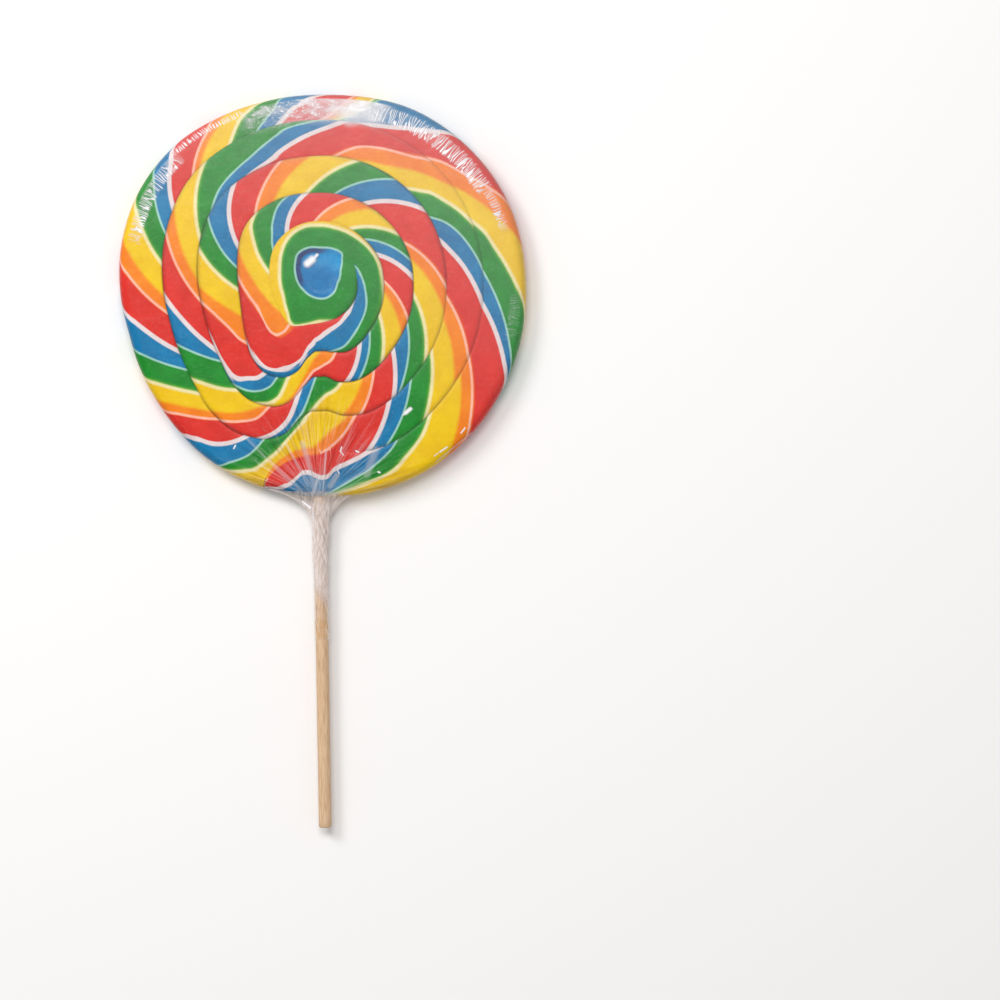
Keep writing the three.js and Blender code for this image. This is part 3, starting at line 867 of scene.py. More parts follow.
class Nodes:
    """Short ways to add and join a material's nodes."""

    def __init__(self, name):
        self.material = bpy.data.materials.new(name)
        self.material.use_nodes = True
        self.tree = self.material.node_tree
        self.tree.nodes.clear()

    def add(self, kind, **settings):
        node = self.tree.nodes.new("ShaderNode" + kind)
        for key, value in settings.items():
            setattr(node, key, value)
        return node

    def feed(self, socket, value):
        if isinstance(value, bpy.types.NodeSocket):
            self.tree.links.new(value, socket)
        else:
            socket.default_value = value

    def put(self, kind, values, **settings):
        """Adds a node with values or links on its sockets, given by name or number."""
        node = self.add(kind, **settings)
        for key, value in values.items():
            self.feed(node.inputs[key], value)
        return node

    def math(self, operation, *values):
        return self.put("Math", dict(enumerate(values)), operation=operation).outputs[0]

    def times(self, a, b):
        return self.math("MULTIPLY", a, b)

    def plus(self, a, b):
        return self.math("ADD", a, b)

    def most(self, a, b):
        return self.math("MAXIMUM", a, b)

    def vector(self, operation, *values, out=0):
        node = self.put("VectorMath", dict(enumerate(values)), operation=operation)
        return node.outputs[out]

    def scaled(self, vector, scale):
        return self.put("VectorMath", {0: vector, "Scale": scale}, operation="SCALE").outputs[0]

    def attribute(self, name):
        return self.add("Attribute", attribute_name=name).outputs["Fac"]

    def ramp(self, value, stops, mode="LINEAR"):
        node = self.add("ValToRGB")
        node.color_ramp.interpolation = mode
        elements = node.color_ramp.elements
        while len(elements) < len(stops):
            elements.new(0.5)
        for element, (place, colour) in zip(elements, stops):
            element.position = place
        for element, (place, colour) in zip(elements, stops):
            element.position = place
            element.color = colour
        self.feed(node.inputs["Fac"], value)
        return node.outputs["Color"]

    def range(self, value, low, high, to_low, to_high, kind="SMOOTHSTEP"):
        sockets = {"Value": value, "From Min": low, "From Max": high, "To Min": to_low,
                   "To Max": to_high}
        return self.put("MapRange", sockets, interpolation_type=kind).outputs["Result"]

    def rise(self, value, low, high, top):
        """Nought up to low, and top from high on."""
        return self.range(value, low, high, 0.0, top)

    def mix(self, share, a, b, blend="MIX"):
        sockets = {"Factor": share, MIX_COLOUR_A: a, MIX_COLOUR_A + 1: b}
        node = self.put("Mix", sockets, data_type="RGBA", blend_type=blend)
        return node.outputs[MIX_COLOUR_OUT]

    def noise(self, vector, scale, detail=2.0, roughness=0.5, distortion=0.0):
        sockets = {"Vector": vector, "Scale": scale, "Detail": detail, "Roughness": roughness,
                   "Distortion": distortion}
        return self.put("TexNoise", sockets).outputs["Fac"]

    def position(self):
        return self.add("TexCoord").outputs["Object"]

    def bump(self, height, distance):
        return self.put("Bump", {"Distance": distance, "Height": height}).outputs["Normal"]

    def principled(self, sockets):
        return self.finish(self.put("BsdfPrincipled", sockets).outputs["BSDF"])

    def finish(self, shader):
        output = self.add("OutputMaterial")
        self.tree.links.new(shader, output.inputs["Surface"])
        return self.material


RED = linear(206, 42, 33)
ORANGE = linear(228, 123, 10)
YELLOW = linear(224, 184, 0)
GREEN = linear(14, 128, 34)
GREEN_GLOW = linear(96, 166, 40)
BLUE = linear(0, 112, 160)
LINE_COLOURS = {
    "white": linear(216, 202, 202),
    "pink": linear(236, 172, 150),
    "cream": linear(224, 212, 158),
    "pale": linear(142, 190, 176),
}
# Each line's half width and the width over which it fades, in millimetres.
LINE_WIDTHS = {
    "white": (0.55, 0.5),
    "pink": (0.24, 0.42),
    "cream": (0.22, 0.8),
    "pale": (0.2, 0.38),
}
EDGE_FADE = 0.9
GLOW = 2.0
# painted shade for the creases' dark lines
CREASE_PAINTED_SHADE = linear(84, 62, 54)
# painted light: the lighter blue on the hollow's upper right wall
SPOT_PAINTED_LIGHT = linear(0, 140, 196)


# Tones inside the hollow, with painted light and shade on its walls: (direction, from and to
# along it in mm, from and to in mm inside the spot's edge, strength, colour).
SPOT_TONES = (
    ((0, 0, 0), -2.0, -1.0, 9.0, 12.0, 0.7, linear(0, 114, 174)),
    ((0.45, 0.89, 0), -1.0, 7.0, 9.0, 12.0, 0.8, SPOT_PAINTED_LIGHT),
    ((-0.83, 0.56, 0), 1.0, 5.0, 1.7, 2.9, 0.9, linear(46, 58, 108)),
)


SPOT_LIMIT = (0.0115, 0.0125)  # the tones end this far from the coil's centre, in metres


def spot_painted_shading(n, fill):
    """Painted shade on the hollow's upper left wall and painted light at its upper right."""
    offset = n.vector("SUBTRACT", n.position(), (COIL_X * MM, COIL_Y * MM, THICKNESS * MM))
    reach = n.vector("LENGTH", offset, out="Value")
    inside = n.range(reach, *SPOT_LIMIT, 1.0, 0.0)
    depth = n.attribute("pale")
    for direction, low, high, start, end, strength, tint in SPOT_TONES:
        side = n.vector("DOT_PRODUCT", offset, direction, out="Value")
        share = n.times(n.range(side, low * MM, high * MM, 0.0, strength),
                        n.range(depth, start, end, 1.0, 0.0))
        share = n.times(share, n.times(inside, n.math("GREATER_THAN", depth, 0.0)))
        fill = n.mix(share, fill, tint)
    return fill


def candy_colour(n):
    """The stripes' colour, from the values kept at the mesh's corners, and the hollow's painted
    light and shade.
    """
    fraction = n.math("FRACT", n.attribute("phase"))
    fill = n.ramp(fraction, (
        (0.0, RED), (PINK - 0.03, RED), (PINK, ORANGE), (CREAM, ORANGE),
        (CREAM + 0.001, GREEN), (PALE, GREEN), (PALE + 0.001, BLUE), (1.0, BLUE),
    ))
    edge = n.range(n.attribute("edge"), -EDGE_FADE, EDGE_FADE, 0.0, 1.0)
    in_warm = n.math("COMPARE", fraction, (PINK + CREAM) / 2, (CREAM - PINK) / 2)
    fill = n.mix(n.times(edge, in_warm), fill, YELLOW)
    cream = n.math("ABSOLUTE", n.attribute("cream"))
    in_green = n.math("COMPARE", fraction, (CREAM + PALE) / 2, (PALE - CREAM) / 2)
    glow = n.range(cream, LINE_WIDTHS["cream"][0], GLOW, 0.85, 0.0)
    fill = n.mix(n.times(glow, in_green), fill, GREEN_GLOW)
    # painted light and shade on the hollow's walls
    fill = spot_painted_shading(n, fill)
    for name, (half, fade) in LINE_WIDTHS.items():
        gap = n.math("ABSOLUTE", n.attribute(name))
        fill = n.mix(n.range(gap, half, half + fade, 1.0, 0.0), fill, LINE_COLOURS[name])
    return fill


# Slightly lighter and darker patches: (scale, strength). The noise shows between two levels.
TONE_LEVELS = (0.35, 0.7)
TONE_DARK_SCALE = 1.3
TONES = ((130, 0.22), (900, 0.16))
TONE_DARK = 0.45  # how strong the darker patches are beside the lighter ones


# Painted shade: the dark line in a crease and the shade beside it, by millimetres from the
# crease, and how the noise makes both uneven: (from, to, strength there, strength here).
PAINTED_SEAM = (0.1, 0.48, 0.6, 0.0)
SEAM_SHADE = (0.1, 2.0, 0.3, 0.0)
CREASE_PATCHES = (0.3, 0.6, 0.55, 1.0)


def candy_material():
    n = Nodes("boiled_sugar")
    place = n.position()
    colour = candy_colour(n)
    for scale, strength in TONES:
        light = n.rise(n.noise(place, scale, 3.0), *TONE_LEVELS, strength)
        colour = n.mix(light, colour, (1, 1, 1, 1), "SOFT_LIGHT")
        patches = n.noise(place, scale * TONE_DARK_SCALE, 3.0)
        dark = n.rise(patches, *TONE_LEVELS, TONE_DARK * strength)
        colour = n.mix(dark, colour, (0, 0, 0, 1), "SOFT_LIGHT")
    inner, outer = n.attribute("inner_crease"), n.attribute("outer_crease")
    look = n.times(n.attribute("crease_look"), n.range(n.noise(place, 60), *CREASE_PATCHES))
    # painted shade: a dark line in each crease, and a soft shade beside each strip's outer crease
    painted_seam = n.range(n.math("MINIMUM", inner, outer), *PAINTED_SEAM)
    colour = n.mix(n.times(painted_seam, look), colour, CREASE_PAINTED_SHADE, "MULTIPLY")
    shade = n.range(outer, *SEAM_SHADE, "SMOOTHERSTEP")
    colour = n.mix(n.times(shade, look), colour, CREASE_PAINTED_SHADE, "MULTIPLY")
    return n.principled({
        "Base Color": colour, "Roughness": 0.28, "Specular IOR Level": 0.12,
        "Normal": n.bump(n.noise(place, 700, 3.0), 0.00004),
    })


GRAIN_STRETCH = 0.06  # the grain runs along the stick, this much coarser


def wood_material():
    n = Nodes("plain_wood")
    stretched = {"Vector": n.position(), "Scale": (1.0, GRAIN_STRETCH, 1.0)}
    place = n.put("Mapping", stretched).outputs["Vector"]
    grain = n.noise(place, 2600, 4.0, 0.6)
    bands = n.noise(place, 700, 2.0)
    colour = n.ramp(grain, ((0.3, linear(178, 140, 104)), (0.5, linear(207, 173, 138)),
                            (0.75, linear(222, 192, 160))))
    colour = n.mix(n.range(bands, 0.4, 0.7, 0.0, 0.3), colour, linear(196, 156, 116))
    return n.principled(
        {"Base Color": colour, "Roughness": 0.72, "Normal": n.bump(grain, 0.00012)})


def floor_material():
    n = Nodes("pale_floor")
    return n.principled({
        "Base Color": linear(240, 238, 237), "Roughness": 0.9, "Specular IOR Level": 0.1,
    })


# ------------------------------------------------------------ stick

STICK_DIAMETER = 4.76
STICK_LENGTH = 177.8
STICK_SHOWN = 122.6
STICK_CHAMFER = 0.5
STICK_X, STICK_Y = -1.4, -75.5
STICK_LEAN = 0.97
STICK_SIDES = 48
STICK_ROWS, STICK_ROWS_INSET = 60, 4
STICK_ROUNDING = (0.15, 0.22)  # the free end's rounded edge
STICK_UNEVEN, STICK_WAVES, STICK_WAVE_TWIST = 0.006, 3, 0.07

STICK_PLACE = (
    Matrix.Translation((STICK_X * MM, STICK_Y * MM, MID_Z * MM))
    @ Matrix.Rotation(math.radians(STICK_LEAN), 4, "Z")
)


def stick_rows():
    """(distance down the stick from the rim, radius) along the dowel, free end first."""
    radius = STICK_DIAMETER / 2
    low, high = -STICK_SHOWN, STICK_LENGTH - STICK_SHOWN
    along, inwards = STICK_ROUNDING
    rows = [(low, 0), (low, radius - STICK_CHAMFER), (low + along, radius - inwards),
            (low + STICK_CHAMFER, radius)]
    middle = np.linspace(low + STICK_ROWS_INSET, high - STICK_ROWS_INSET, STICK_ROWS)
    rows += [(y, radius) for y in middle]
    rows += [(high - STICK_CHAMFER, radius), (high, radius - STICK_CHAMFER), (high, 0)]
    return rows


def build_stick(material):
    rows = stick_rows()
    angle = np.linspace(0, 2 * math.pi, STICK_SIDES, endpoint=False)
    points = []
    for y, radius in rows:
        wave = 1 + np.sin(STICK_WAVES * angle + y * STICK_WAVE_TWIST)
        uneven = 1 - STICK_UNEVEN * wave * (radius > 0)
        x, z = radius * uneven * np.cos(angle), radius * uneven * np.sin(angle)
        points.append(np.stack([x, np.full(STICK_SIDES, y), z], axis=-1))
    faces = tube_faces(len(rows), STICK_SIDES, 0)
    obj = make_object("wood_stick", np.concatenate(points), faces, [material])
    obj.data.transform(STICK_PLACE)
    return obj


# ------------------------------------------------------------ film

FILM_GAP = 0.06  # the skin's distance from the candy
FILM_RAYS = 900
FILM_RINGS = np.concatenate([
    np.linspace(0.05, 0.6, 12), np.linspace(0.65, 0.93, 29), np.linspace(0.94, 0.995, 12),
])
FILM_RIM_ROWS = 12
FILM_BACK_RINGS = np.array([0.97, 0.9, 0.75, 0.5, 0.25, 0.05])

# The gathered film, in the stick's own frame: (distance past the rim, reach to the left,
# reach to the right, half height).
WEB = (
    (-3.4, 20.0, 18.0, 4.86), (-1.2, 13.6, 13.4, 4.7), (0.8, 9.8, 9.9, 4.4),
    (2.8, 7.1, 7.3, 4.0), (5.0, 4.9, 5.4, 3.6), (7.0, 3.8, 4.1, 3.4), (9.5, 3.3, 3.5, 3.3),
)
SLEEVE_LENGTH = 53.0
SLEEVE_TOP_RADIUS, SLEEVE_END_RADIUS = 3.3, 2.7
SLEEVE_TWIST = 6.0  # degrees a millimetre
PLEATS = ((5, 0.5, 40), (8, 0.36, 200), (13, 0.3, 95), (21, 0.16, 310))
SLEEVE_BULGE, SLEEVE_TAPER = 0.15, 0.62
TWIST_START = 2
FOLD_DEPTH, FOLD_LOSS = 0.9, 0.85
FOLD_RISE, FOLD_FALL = (-3.4, 1.5), (18, 36)
PLEAT_LEVEL, PLEAT_TOP = 0.55, 0.05
WEB_FLATNESS = (0.62, 1.0)
STICK_CLEARANCE = 0.12
NECK_SIDES = 192
WEB_ROWS, SLEEVE_ROWS, SLEEVE_START = 50, 100, 10
FILM_DIP = 0.04  # the skin lies this much below its gap over the face


def film_skin_parts():
    """Points and faces of the skin over the disc, closed all round."""
    angles = np.linspace(0, 360, FILM_RAYS, endpoint=False)
    edge = face_reach(angles)
    tilts = np.radians(np.linspace(90, -90, FILM_RIM_ROWS + 1))
    out = np.maximum(np.cos(tilts), 0) ** RIM_FULLNESS * (SHOULDER + FILM_GAP)
    up = np.sign(tilts) * np.abs(np.sin(tilts)) ** RIM_FULLNESS
    top = THICKNESS + FILM_GAP - FILM_DIP
    rows = [(ring * edge, top) for ring in FILM_RINGS]
    rows += [(edge + o, MID_Z + (top - MID_Z if u > 0 else MID_Z) * u) for o, u in zip(out, up)]
    rows += [(ring * edge, 0.0) for ring in FILM_BACK_RINGS]
    points = [polar(angles, radius, level) for radius, level in rows]
    points.append(polar(np.zeros(1), np.zeros(1), top))
    points.append(polar(np.zeros(1), np.zeros(1), 0.0))
    faces = tube_faces(len(rows), FILM_RAYS, 0)
    top_middle = len(rows) * FILM_RAYS
    back_middle = top_middle + 1
    last = (len(rows) - 1) * FILM_RAYS
    for i in range(FILM_RAYS):
        k = (i + 1) % FILM_RAYS
        faces.append((i, k, top_middle))
        faces.append((last + k, last + i, back_middle))
    return np.concatenate(points), faces


def pleat(angle):
    return sum(size * np.cos(np.radians(count * angle - start)) for count, size, start in PLEATS)


def film_neck_parts(first):
    """Points and faces of the gathered film round the stick, from inside the rim down."""
    past, left, right, high = (np.array(column) for column in zip(*WEB))
    distance = np.concatenate([np.linspace(past[0], past[-1], WEB_ROWS),
                               np.linspace(SLEEVE_START, SLEEVE_LENGTH, SLEEVE_ROWS)])
    angle = np.linspace(0, 360, NECK_SIDES, endpoint=False)
    points = []
    for d in distance:
        reach_left, reach_right = np.interp(d, past, left), np.interp(d, past, right)
        height = np.interp(d, past, high)
        if d > past[-1]:
            share = smooth(past[-1], SLEEVE_LENGTH * SLEEVE_TAPER, d)
            end = SLEEVE_TOP_RADIUS + (SLEEVE_END_RADIUS - SLEEVE_TOP_RADIUS) * share
            reach_left, reach_right, height = end, end + SLEEVE_BULGE * (1 - share), end
        twist = SLEEVE_TWIST * max(d - TWIST_START, 0)
        depth = FOLD_DEPTH * smooth(*FOLD_RISE, d) * (1 - FOLD_LOSS * smooth(*FOLD_FALL, d))
        fold = depth * np.minimum(pleat(angle + twist) - PLEAT_LEVEL, PLEAT_TOP)
        c, s = np.cos(np.radians(angle)), np.sin(np.radians(angle))
        reach = np.where(c > 0, reach_right, reach_left)
        flat = np.interp(d, (past[0], past[-1]), WEB_FLATNESS)
        x = reach * np.sign(c) * np.abs(c)
        z = height * np.sign(s) * np.abs(s) ** flat
        length = np.maximum(np.hypot(x, z), 1e-6)
        room = np.maximum(length - (STICK_DIAMETER / 2 + STICK_CLEARANCE), 0)
        fold = np.maximum(fold, -room)
        points.append(np.stack([x * (1 + fold / length), np.full(NECK_SIDES, -d),
                                z * (1 + fold / length)], axis=-1))
    return np.concatenate(points), tube_faces(len(distance), NECK_SIDES, first)


def build_film(skin_material, neck_material):
    skin_points, skin_faces = film_skin_parts()
    neck_points, neck_faces = film_neck_parts(len(skin_points))
    turn = np.array(STICK_PLACE)
    neck_points = neck_points @ turn[:3, :3].T + turn[:3, 3] / MM
    obj = make_object("film_wrap", np.concatenate([skin_points, neck_points]),
                      skin_faces + neck_faces, [skin_material, neck_material])
    x, y = skin_points[:, 0], skin_points[:, 1]
    inset = outline_radius(np.degrees(np.arctan2(y, x))) - np.hypot(x, y)
    side = np.abs(np.cos(np.linspace(0, 2 * math.pi, NECK_SIDES, endpoint=False)))
    side = np.tile(side, len(neck_points) // NECK_SIDES)
    add_attribute(obj, "inset", np.append(inset, 0 * side), "POINT")
    add_attribute(obj, "side", np.append(0 * inset, side), "POINT")
    slots = np.repeat([0, 1], [len(skin_faces), len(neck_faces)])
    obj.data.polygons.foreach_set("material_index", slots)
    return obj


# The film's look, in millimetres and degrees. Where it shrank onto the shoulder it has
# short creases, white with painted highlights: (from angle, to angle, inset where they
# start, where they end, strength).
TICKS = (
    (33.0, 75.0, 2.6, 8.4, 1.0), (20.0, 33.0, 3.4, 6.6, 0.75), (137.0, 164.0, 2.5, 7.0, 1.0),
    (114.0, 137.0, 1.3, 3.3, 1.0), (-13.0, -1.0, 2.0, 6.0, 0.16),
)
TICK_PITCH = 1.08
TICK_WANDER, TICK_LEAN, TICK_UNEVEN = 4.0, 1.3, 4.0
TICK_WAVE = (0.0, 0.75, 0.08, 1.0)
TICK_FADE, TICK_ZONE_FADE = 0.5, 2.0
TICK_THIN = 0.6  # the share of its strength that a tick starts with
GLARE_FADE, GLARE_START_FADE, GLARE_END_FADE = 3.5, 0.4, 3.0
GLARE_BODY = (0.3, 0.7, -0.2, 0.2)
GLARE_LEVEL = (-22.0, 16.0, 0.22, 0.64)  # from x, to x, strength there and here
GLARE_SPECKS, GLARE_SPECK_PLACE = (0.56, 0.66, 0.45), (-8.0, 6.0, 1.0, 0.3)
GLARE_FROM, GLARE_TO = 71.0, 114.0
GLARE_START, GLARE_END = 1.7, 9.5
VEIL_LOW, VEIL_HIGH = -30.0, 85.0  # the film's painted sheen, a reflection of the light, grows towards the upper right
GATHER_X, GATHER_Y = -1.9, -76.6
PLEAT_START, PLEAT_REACH = 5.0, 46.0
# The pleats' noise as white, milky with painted highlights, and as dark, painted shade: (from
# level, to level, strength), broad and fine.
PLEAT_WHITE, FINE_WHITE = (0.5, 0.74, 0.24), (0.52, 0.7, 0.26)
PLEAT_DARK, FINE_DARK = (0.46, 0.34, 0.4), (0.46, 0.34, 0.42)
# painted shade in the dark pleats, a grey tint on the clear film
PLEAT_SHADE_TINT = (0.5, 0.38, 0.36, 1)
GATHER_WHITE = (3.0, 10.0, 0.1, 0.0)
VEIL_LEAN, VEIL_SHEEN_LEAST, VEIL_SHEEN_MOST = 0.45, 0.004, 0.1
WRINKLE_WHITE = (0.54, 0.8, 0.07)
SKIN_ROUGHNESS, NECK_ROUGHNESS = 0.24, 0.16
# Single pleats that show white, milky bands and painted highlights, the glint in the hollow
# among them: (from x, y, to x, y, half width, strength).
MILKY_PLEATS_AND_HIGHLIGHTS = (
    (-7.4, -55.5, -2.6, -73.0, 1.1, 0.25), (1.1, -58.8, 0.0, -73.0, 0.4, 0.34),
    (-1.9, -68.5, -4.2, -76.0, 0.8, 0.4), (5.2, -67.5, 2.6, -71.5, 1.1, 0.25),
    (19.5, -58.0, 16.2, -67.0, 1.5, 0.22), (-29.0, -53.0, -12.0, -70.5, 0.5, 0.18),
    (-20.0, -62.0, -8.0, -73.0, 0.6, 0.22), (-13.5, -56.0, -5.5, -71.5, 0.5, 0.22),
    (6.9, -57.0, 6.4, -58.6, 0.25, 0.9), (6.4, -58.6, 7.6, -60.0, 0.2, 0.8),
    (6.3, -63.3, 5.3, -65.3, 0.22, 0.8), (5.3, -65.3, 6.0, -66.8, 0.2, 0.8),
    (12.2, -58.4, 13.2, -58.9, 0.3, 0.9), (20.4, -66.2, 21.0, -66.4, 0.35, 0.9),
    (54.8, -51.8, 41.8, -62.5, 0.15, 0.5), (51.1, -51.8, 52.5, -50.0, 0.3, 0.85),
    (43.3, -58.8, 45.9, -57.0, 0.3, 0.85), (41.1, -60.3, 42.6, -59.2, 0.2, 0.6),
    (30.5, -44.4, 32.3, -42.9, 0.75, 0.95),
    (29.6, -45.2, 30.5, -44.4, 0.3, 0.8), (-33.0, -57.5, -32.4, -56.4, 0.3, 0.9),
    (9.5, 63.8, 17.0, 65.0, 2.2, 0.45),
    (-5.8, 10.9, -4.0, 12.4, 1.4, 0.92), (-3.8, 12.4, -2.2, 14.1, 0.6, 0.8),
)


class FilmPlace:
    """A film material's coordinates, in millimetres and degrees."""

    def __init__(self, n):
        self.n = n
        self.point = n.scaled(n.position(), 1 / MM)
        self.x, self.y, self.z = n.put("SeparateXYZ", {0: self.point}).outputs
        self.radius, self.angle = self.around(0.0, 0.0)
        self.inset = n.attribute("inset")

    def around(self, x, y):
        n = self.n
        east = n.math("SUBTRACT", self.x, x)
        north = n.math("SUBTRACT", self.y, y)
        reach = n.math("SQRT", n.plus(n.times(east, east), n.times(north, north)))
        return reach, n.math("DEGREES", n.math("ARCTAN2", north, east))

    def streaks(self, across, along, scale, seed, distortion=0.4):
        """Noise drawn out along one coordinate."""
        n = self.n
        parts = {0: n.times(across, scale[0]), 1: n.times(along, scale[1]), 2: seed}
        return n.noise(n.put("CombineXYZ", parts).outputs[0], 1.0, 2.0, 0.5, distortion)

    def window(self, value, low, high, fade):
        n = self.n
        return n.times(n.range(value, low - fade, low + fade, 0.0, 1.0),
                      n.range(value, high - fade, high + fade, 1.0, 0.0))

    def white_streak(self, x0, y0, x1, y1, half, strength):
        """White along a line from one point to another, fading to both sides. It draws milky bands
        and painted highlights.
        """
        n = self.n
        start = n.vector("SUBTRACT", n.vector("MULTIPLY", self.point, (1, 1, 0)), (x0, y0, 0))
        way = Vector((x1 - x0, y1 - y0, 0))
        share = n.vector("DOT_PRODUCT", start, way / way.length_squared, out="Value")
        share = n.range(share, 0.0, 1.0, 0.0, 1.0, "LINEAR")
        gap = n.vector("DISTANCE", start, n.scaled(way, share), out="Value")
        return n.range(gap, half * 0.25, half * 1.5, strength, 0.0)


FILM_SHINE = 0.3
FILM_IOR = 1.45
CLEAR = (1, 1, 1, 1)
FILM_RELIEF = 0.00025
FILM_GLOSS = (1.0, 0.95, 0.88, 1.0)
FILM_WHITE = linear(238, 236, 238)
FILM_BEIGE = linear(228, 216, 211)


def film_nodes(n, milk_and_sheen, tint, height, roughness, milk_and_sheen_colour=None):
    """Clear film: it lets light through, shines, and is white where it is milky and where
    highlights are painted.
    """
    clear = n.put("BsdfTransparent", {"Color": tint}).outputs[0]
    normal = n.bump(height, FILM_RELIEF)
    gloss = {"Color": FILM_GLOSS, "Roughness": roughness, "Normal": normal}
    gloss = n.put("BsdfGlossy", gloss).outputs[0]
    white = {"Color": milk_and_sheen_colour or FILM_WHITE, "Normal": normal}
    white = n.put("BsdfDiffuse", white).outputs[0]
    fresnel = n.put("Fresnel", {"IOR": FILM_IOR}).outputs[0]
    shine = n.put("MixShader", {0: n.times(fresnel, FILM_SHINE), 1: clear, 2: gloss}).outputs[0]
    cover = n.put("MixShader", {0: milk_and_sheen, 1: shine, 2: white})
    return n.finish(cover.outputs[0])


def shoulder_ticks(n, place, arc):
    """Painted highlights on fine creases across the shoulder, like a comb's teeth that lean to and
    fro.
    """
    wander = place.streaks(arc, place.inset, (0.22, 0.1), 3.0)
    slant = place.streaks(arc, place.inset, (0.3, 0.0), 5.0, 0.0)
    ends = place.streaks(arc, place.inset, (0.75, 0.0), 9.0, 0.0)
    turns = n.times(arc, 1 / TICK_PITCH)
    turns = n.plus(turns, n.times(wander, TICK_WANDER))
    leaning = n.times(n.math("SUBTRACT", slant, 0.5), place.inset)
    turns = n.plus(turns, n.times(leaning, TICK_LEAN))
    wave = n.math("SINE", n.times(turns, 2 * math.pi))
    line = n.range(wave, *TICK_WAVE)
    shifted = n.plus(place.inset, n.times(n.math("SUBTRACT", ends, 0.5), TICK_UNEVEN))
    milk_and_sheen = None
    for low, high, start, end, strength in TICKS:
        zone = n.times(place.window(shifted, start, end, TICK_FADE),
                      place.window(place.angle, low, high, TICK_ZONE_FADE))
        denser = n.range(place.inset, start, end, TICK_THIN * strength, strength)
        part = n.times(n.times(zone, denser), line)
        milk_and_sheen = part if milk_and_sheen is None else n.most(milk_and_sheen, part)
    return milk_and_sheen


def top_glare(n, place):
    """The painted reflection in a band along the top of the disc, with speckles at its left."""
    body = place.streaks(place.x, place.y, (0.13, 0.3), 7.0, 0.8)
    body = n.range(body, *GLARE_BODY)
    level = n.range(place.x, *GLARE_LEVEL)
    speck = place.streaks(place.x, place.y, (0.9, 1.3), 4.0, 0.3)
    speck = n.times(n.rise(speck, *GLARE_SPECKS), n.range(place.x, *GLARE_SPECK_PLACE))
    milk_and_sheen = n.plus(n.plus(body, level), speck)
    begun = n.rise(place.inset, GLARE_START - GLARE_START_FADE,
                   GLARE_START + GLARE_START_FADE, 1.0)
    over = n.range(place.inset, GLARE_END - GLARE_END_FADE, GLARE_END + GLARE_END_FADE, 1.0, 0.0)
    zone = n.times(place.window(place.angle, GLARE_FROM, GLARE_TO, GLARE_FADE),
                   n.times(begun, over))
    return n.times(milk_and_sheen, zone)


def skin_material():
    """The skin over the disc: creases at the shoulder, glare at the top, pleats at the neck.
    Their highlights, the glare, the pleats' shade and the sheen over the face are painted.
    """
    n = Nodes("clear_film")
    place = FilmPlace(n)
    shown = n.math("GREATER_THAN", place.z, MID_Z)
    arc = n.times(place.angle, MEAN_RADIUS * math.pi / 180)
    # painted highlights on the shoulder's creases, and the painted reflection at the top
    milk_and_sheen = n.most(shoulder_ticks(n, place, arc), top_glare(n, place))
    reach, spread = place.around(GATHER_X, GATHER_Y)
    pleat = place.streaks(spread, reach, (0.4, 0.05), 11.0, 0.6)
    fine = place.streaks(spread, reach, (0.95, 0.06), 15.0, 0.6)
    fading = n.range(reach, PLEAT_START, PLEAT_REACH, 1.0, 0.0)
    soft = n.plus(n.rise(pleat, *PLEAT_WHITE), n.rise(fine, *FINE_WHITE))
    soft = n.plus(soft, n.range(reach, *GATHER_WHITE))
    milk_and_sheen = n.most(milk_and_sheen, n.times(soft, fading))
    # milky pleats and painted highlights along single lines
    for line in MILKY_PLEATS_AND_HIGHLIGHTS:
        milk_and_sheen = n.most(milk_and_sheen, place.white_streak(*line))
    # painted sheen: a reflection of the light on the film, growing towards the upper right, and
    # the white of fine wrinkles
    slope = n.plus(place.y, n.times(place.x, VEIL_LEAN))
    veil_sheen = n.range(slope, VEIL_LOW, VEIL_HIGH, VEIL_SHEEN_LEAST, VEIL_SHEEN_MOST, "LINEAR")
    wrinkle = n.noise(place.point, 0.9, 4.0, 0.65, 0.5)
    veil_sheen = n.plus(veil_sheen, n.rise(wrinkle, *WRINKLE_WHITE))
    milk_and_sheen = n.times(n.plus(milk_and_sheen, veil_sheen), shown)
    # painted shade along the dark pleats
    dark = n.times(n.plus(n.rise(pleat, *PLEAT_DARK), n.rise(fine, *FINE_DARK)), fading)
    tint = n.mix(n.times(dark, shown), CLEAR, PLEAT_SHADE_TINT)
    height = n.plus(n.times(pleat, fading), n.noise(place.point, 0.16, 3.0))
    return film_nodes(n, milk_and_sheen, tint, height, SKIN_ROUGHNESS)


# The gathered film's look along the stick, in millimetres below the disc's middle. Where
# there are four numbers they are (from, to, strength there, strength here).
NECK_EDGE, NECK_EDGE_FADE = (0.72, 0.95, 0.7), (84.0, 92.0, 1.0, 0.3)
NECK_BODY, NECK_BODY_END = (75.0, 80.0, 0.3, 0.66), (109.0, 117.0, 1.0, 0.12)
NECK_END_SLANT = -0.9
NECK_TWIST, NECK_SHADE = (0.3, 0.7, 0.75, 1.3), (0.3, 0.6, 0.3, 0.0)
# painted shade in the twist's folds, a grey tint on the film
NECK_SHADE_TINT = (0.8, 0.74, 0.72, 1)
# painted glints where the crumpled film's noise peaks, at the sleeve's left
NECK_SPARKS, NECK_SPARK_SIDE = (0.6, 0.68, 0.8), (-3.0, 1.0, 1.0, 0.1)
NECK_SPARK_PLACE = (80.0, 108.0, 3.0)
NECK_CRUMPLE, NECK_RELIEF = 0.6, 0.45
# A faint stain on the film's clear end: (from, to, fade), noise levels and tint.
STAIN_PLACE, STAIN_PATCHES = (121.0, 128.5, 1.5), (0.35, 0.6, 0.6)
STAIN_TINT = (0.95, 0.84, 0.6, 1)
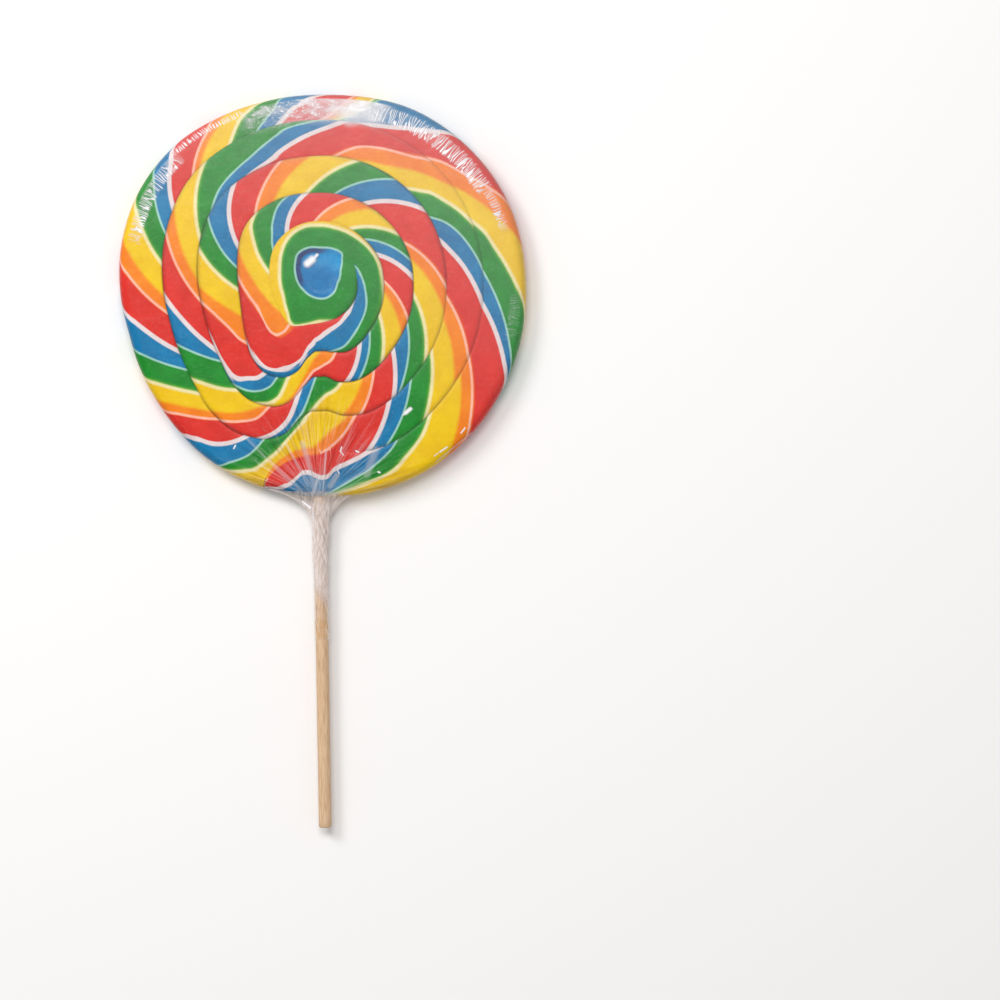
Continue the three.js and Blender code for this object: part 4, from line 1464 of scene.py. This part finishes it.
# Painted white glints on the gathered film, given like the pleats.
NECK_GLINTS = (
    (-7.6, -77.2, -4.8, -79.4, 0.45, 0.95), (-11.5, -75.6, -7.6, -77.2, 0.3, 0.5),
    (-3.9, -81.5, -3.3, -84.5, 0.3, 0.8), (-3.6, -89.0, -2.9, -91.0, 0.3, 0.7),
)


def neck_material():
    """The gathered film: rolled edges beside the web, a milky twist, clear at its end.
    The shade in the twist's folds and the white glints are painted.
    """
    n = Nodes("gathered_film")
    place = FilmPlace(n)
    along = n.times(place.y, -1.0)
    twist = place.streaks(n.plus(place.x, n.times(along, 0.12)), along,
                          (1.1, 0.2), 5.0, 0.8)
    crumple = n.noise(place.point, 0.7, 3.0, 0.6, 0.4)
    edge = n.times(n.rise(n.attribute("side"), *NECK_EDGE), n.range(along, *NECK_EDGE_FADE))
    slanted = n.plus(along, n.times(place.x, NECK_END_SLANT))
    body = n.times(n.range(along, *NECK_BODY), n.range(slanted, *NECK_BODY_END))
    body = n.times(body, n.range(twist, *NECK_TWIST))
    glint = n.times(n.rise(crumple, *NECK_SPARKS), n.range(place.x, *NECK_SPARK_SIDE))
    glint = n.times(glint, place.window(along, *NECK_SPARK_PLACE))
    for line in NECK_GLINTS:
        glint = n.most(glint, place.white_streak(*line))
    milk_and_sheen = n.most(n.most(body, edge), glint)
    height = n.times(n.plus(twist, n.times(crumple, NECK_CRUMPLE)), NECK_RELIEF)
    # painted shade in the twist's folds
    tint = n.mix(n.range(twist, *NECK_SHADE), CLEAR, NECK_SHADE_TINT)
    stain = n.times(place.window(along, *STAIN_PLACE), n.rise(crumple, *STAIN_PATCHES))
    tint = n.mix(stain, tint, STAIN_TINT)
    colour = n.mix(glint, FILM_BEIGE, FILM_WHITE)
    return film_nodes(n, milk_and_sheen, tint, height, NECK_ROUGHNESS, colour)


# -------------------------------------------------------- scene


FLOOR_HALF, FLOOR_Z = 3000.0, -0.05
WORLD_STRENGTH = 0.5
# Soft lights: (name, place, target, size, power), in metres and watts.
LIGHTS = (
    ("key", (-0.75, 0.6, 1.05), (0.02, -0.06, 0), (0.5, 0.5), 9),
    ("top", (-0.08, 0.45, 1.3), (0.02, -0.02, 0), (0.65, 0.5), 8),
)


def build_floor(material):
    half = FLOOR_HALF
    points = [(x * half, y * half, FLOOR_Z) for x, y in ((-1, -1), (1, -1), (1, 1), (-1, 1))]
    return make_object("floor", points, [(0, 1, 2, 3)], [material])


SENSOR = 36.0
LENS = 200.0


def add_camera():
    camera = bpy.data.cameras.new("camera")
    camera.sensor_width = SENSOR
    camera.lens = LENS
    obj = bpy.data.objects.new("camera", camera)
    bpy.context.scene.collection.objects.link(obj)
    width = PHOTO_SIDE * MM_PER_PIXEL
    x = (PHOTO_SIDE / 2 - DISC_PIXEL_X) * MM_PER_PIXEL
    y = (DISC_PIXEL_Y - PHOTO_SIDE / 2) * MM_PER_PIXEL
    height = THICKNESS + width * LENS / SENSOR
    obj.location = Vector((x, y, height)) * MM
    bpy.context.scene.camera = obj


def add_area_light(name, place, target, size, power):
    light = bpy.data.lights.new(name, "AREA")
    light.shape = "RECTANGLE"
    light.size, light.size_y = size
    light.energy = power
    obj = bpy.data.objects.new(name, light)
    bpy.context.scene.collection.objects.link(obj)
    obj.location = Vector(place)
    obj.rotation_euler = (Vector(target) - Vector(place)).to_track_quat("-Z", "Y").to_euler()


def add_world(strength):
    world = bpy.data.worlds.new("studio")
    world.use_nodes = True
    background = world.node_tree.nodes["Background"]
    background.inputs["Color"].default_value = (1, 1, 1, 1)
    background.inputs["Strength"].default_value = strength
    bpy.context.scene.world = world


def main():
    bpy.context.scene.view_settings.view_transform = "Standard"
    candy = build_candy(candy_material())
    stick = build_stick(wood_material())
    film = build_film(skin_material(), neck_material())
    pieces = ((candy, "candy", "candy"), (stick, "stick", "stick"), (film, "film_neck", "film"))
    for piece, node, slot in pieces:
        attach(piece, "root")
        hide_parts(node)
    floor = build_floor(floor_material())
    add_camera()
    add_world(WORLD_STRENGTH)
    for light in LIGHTS:
        add_area_light(*light)


main()
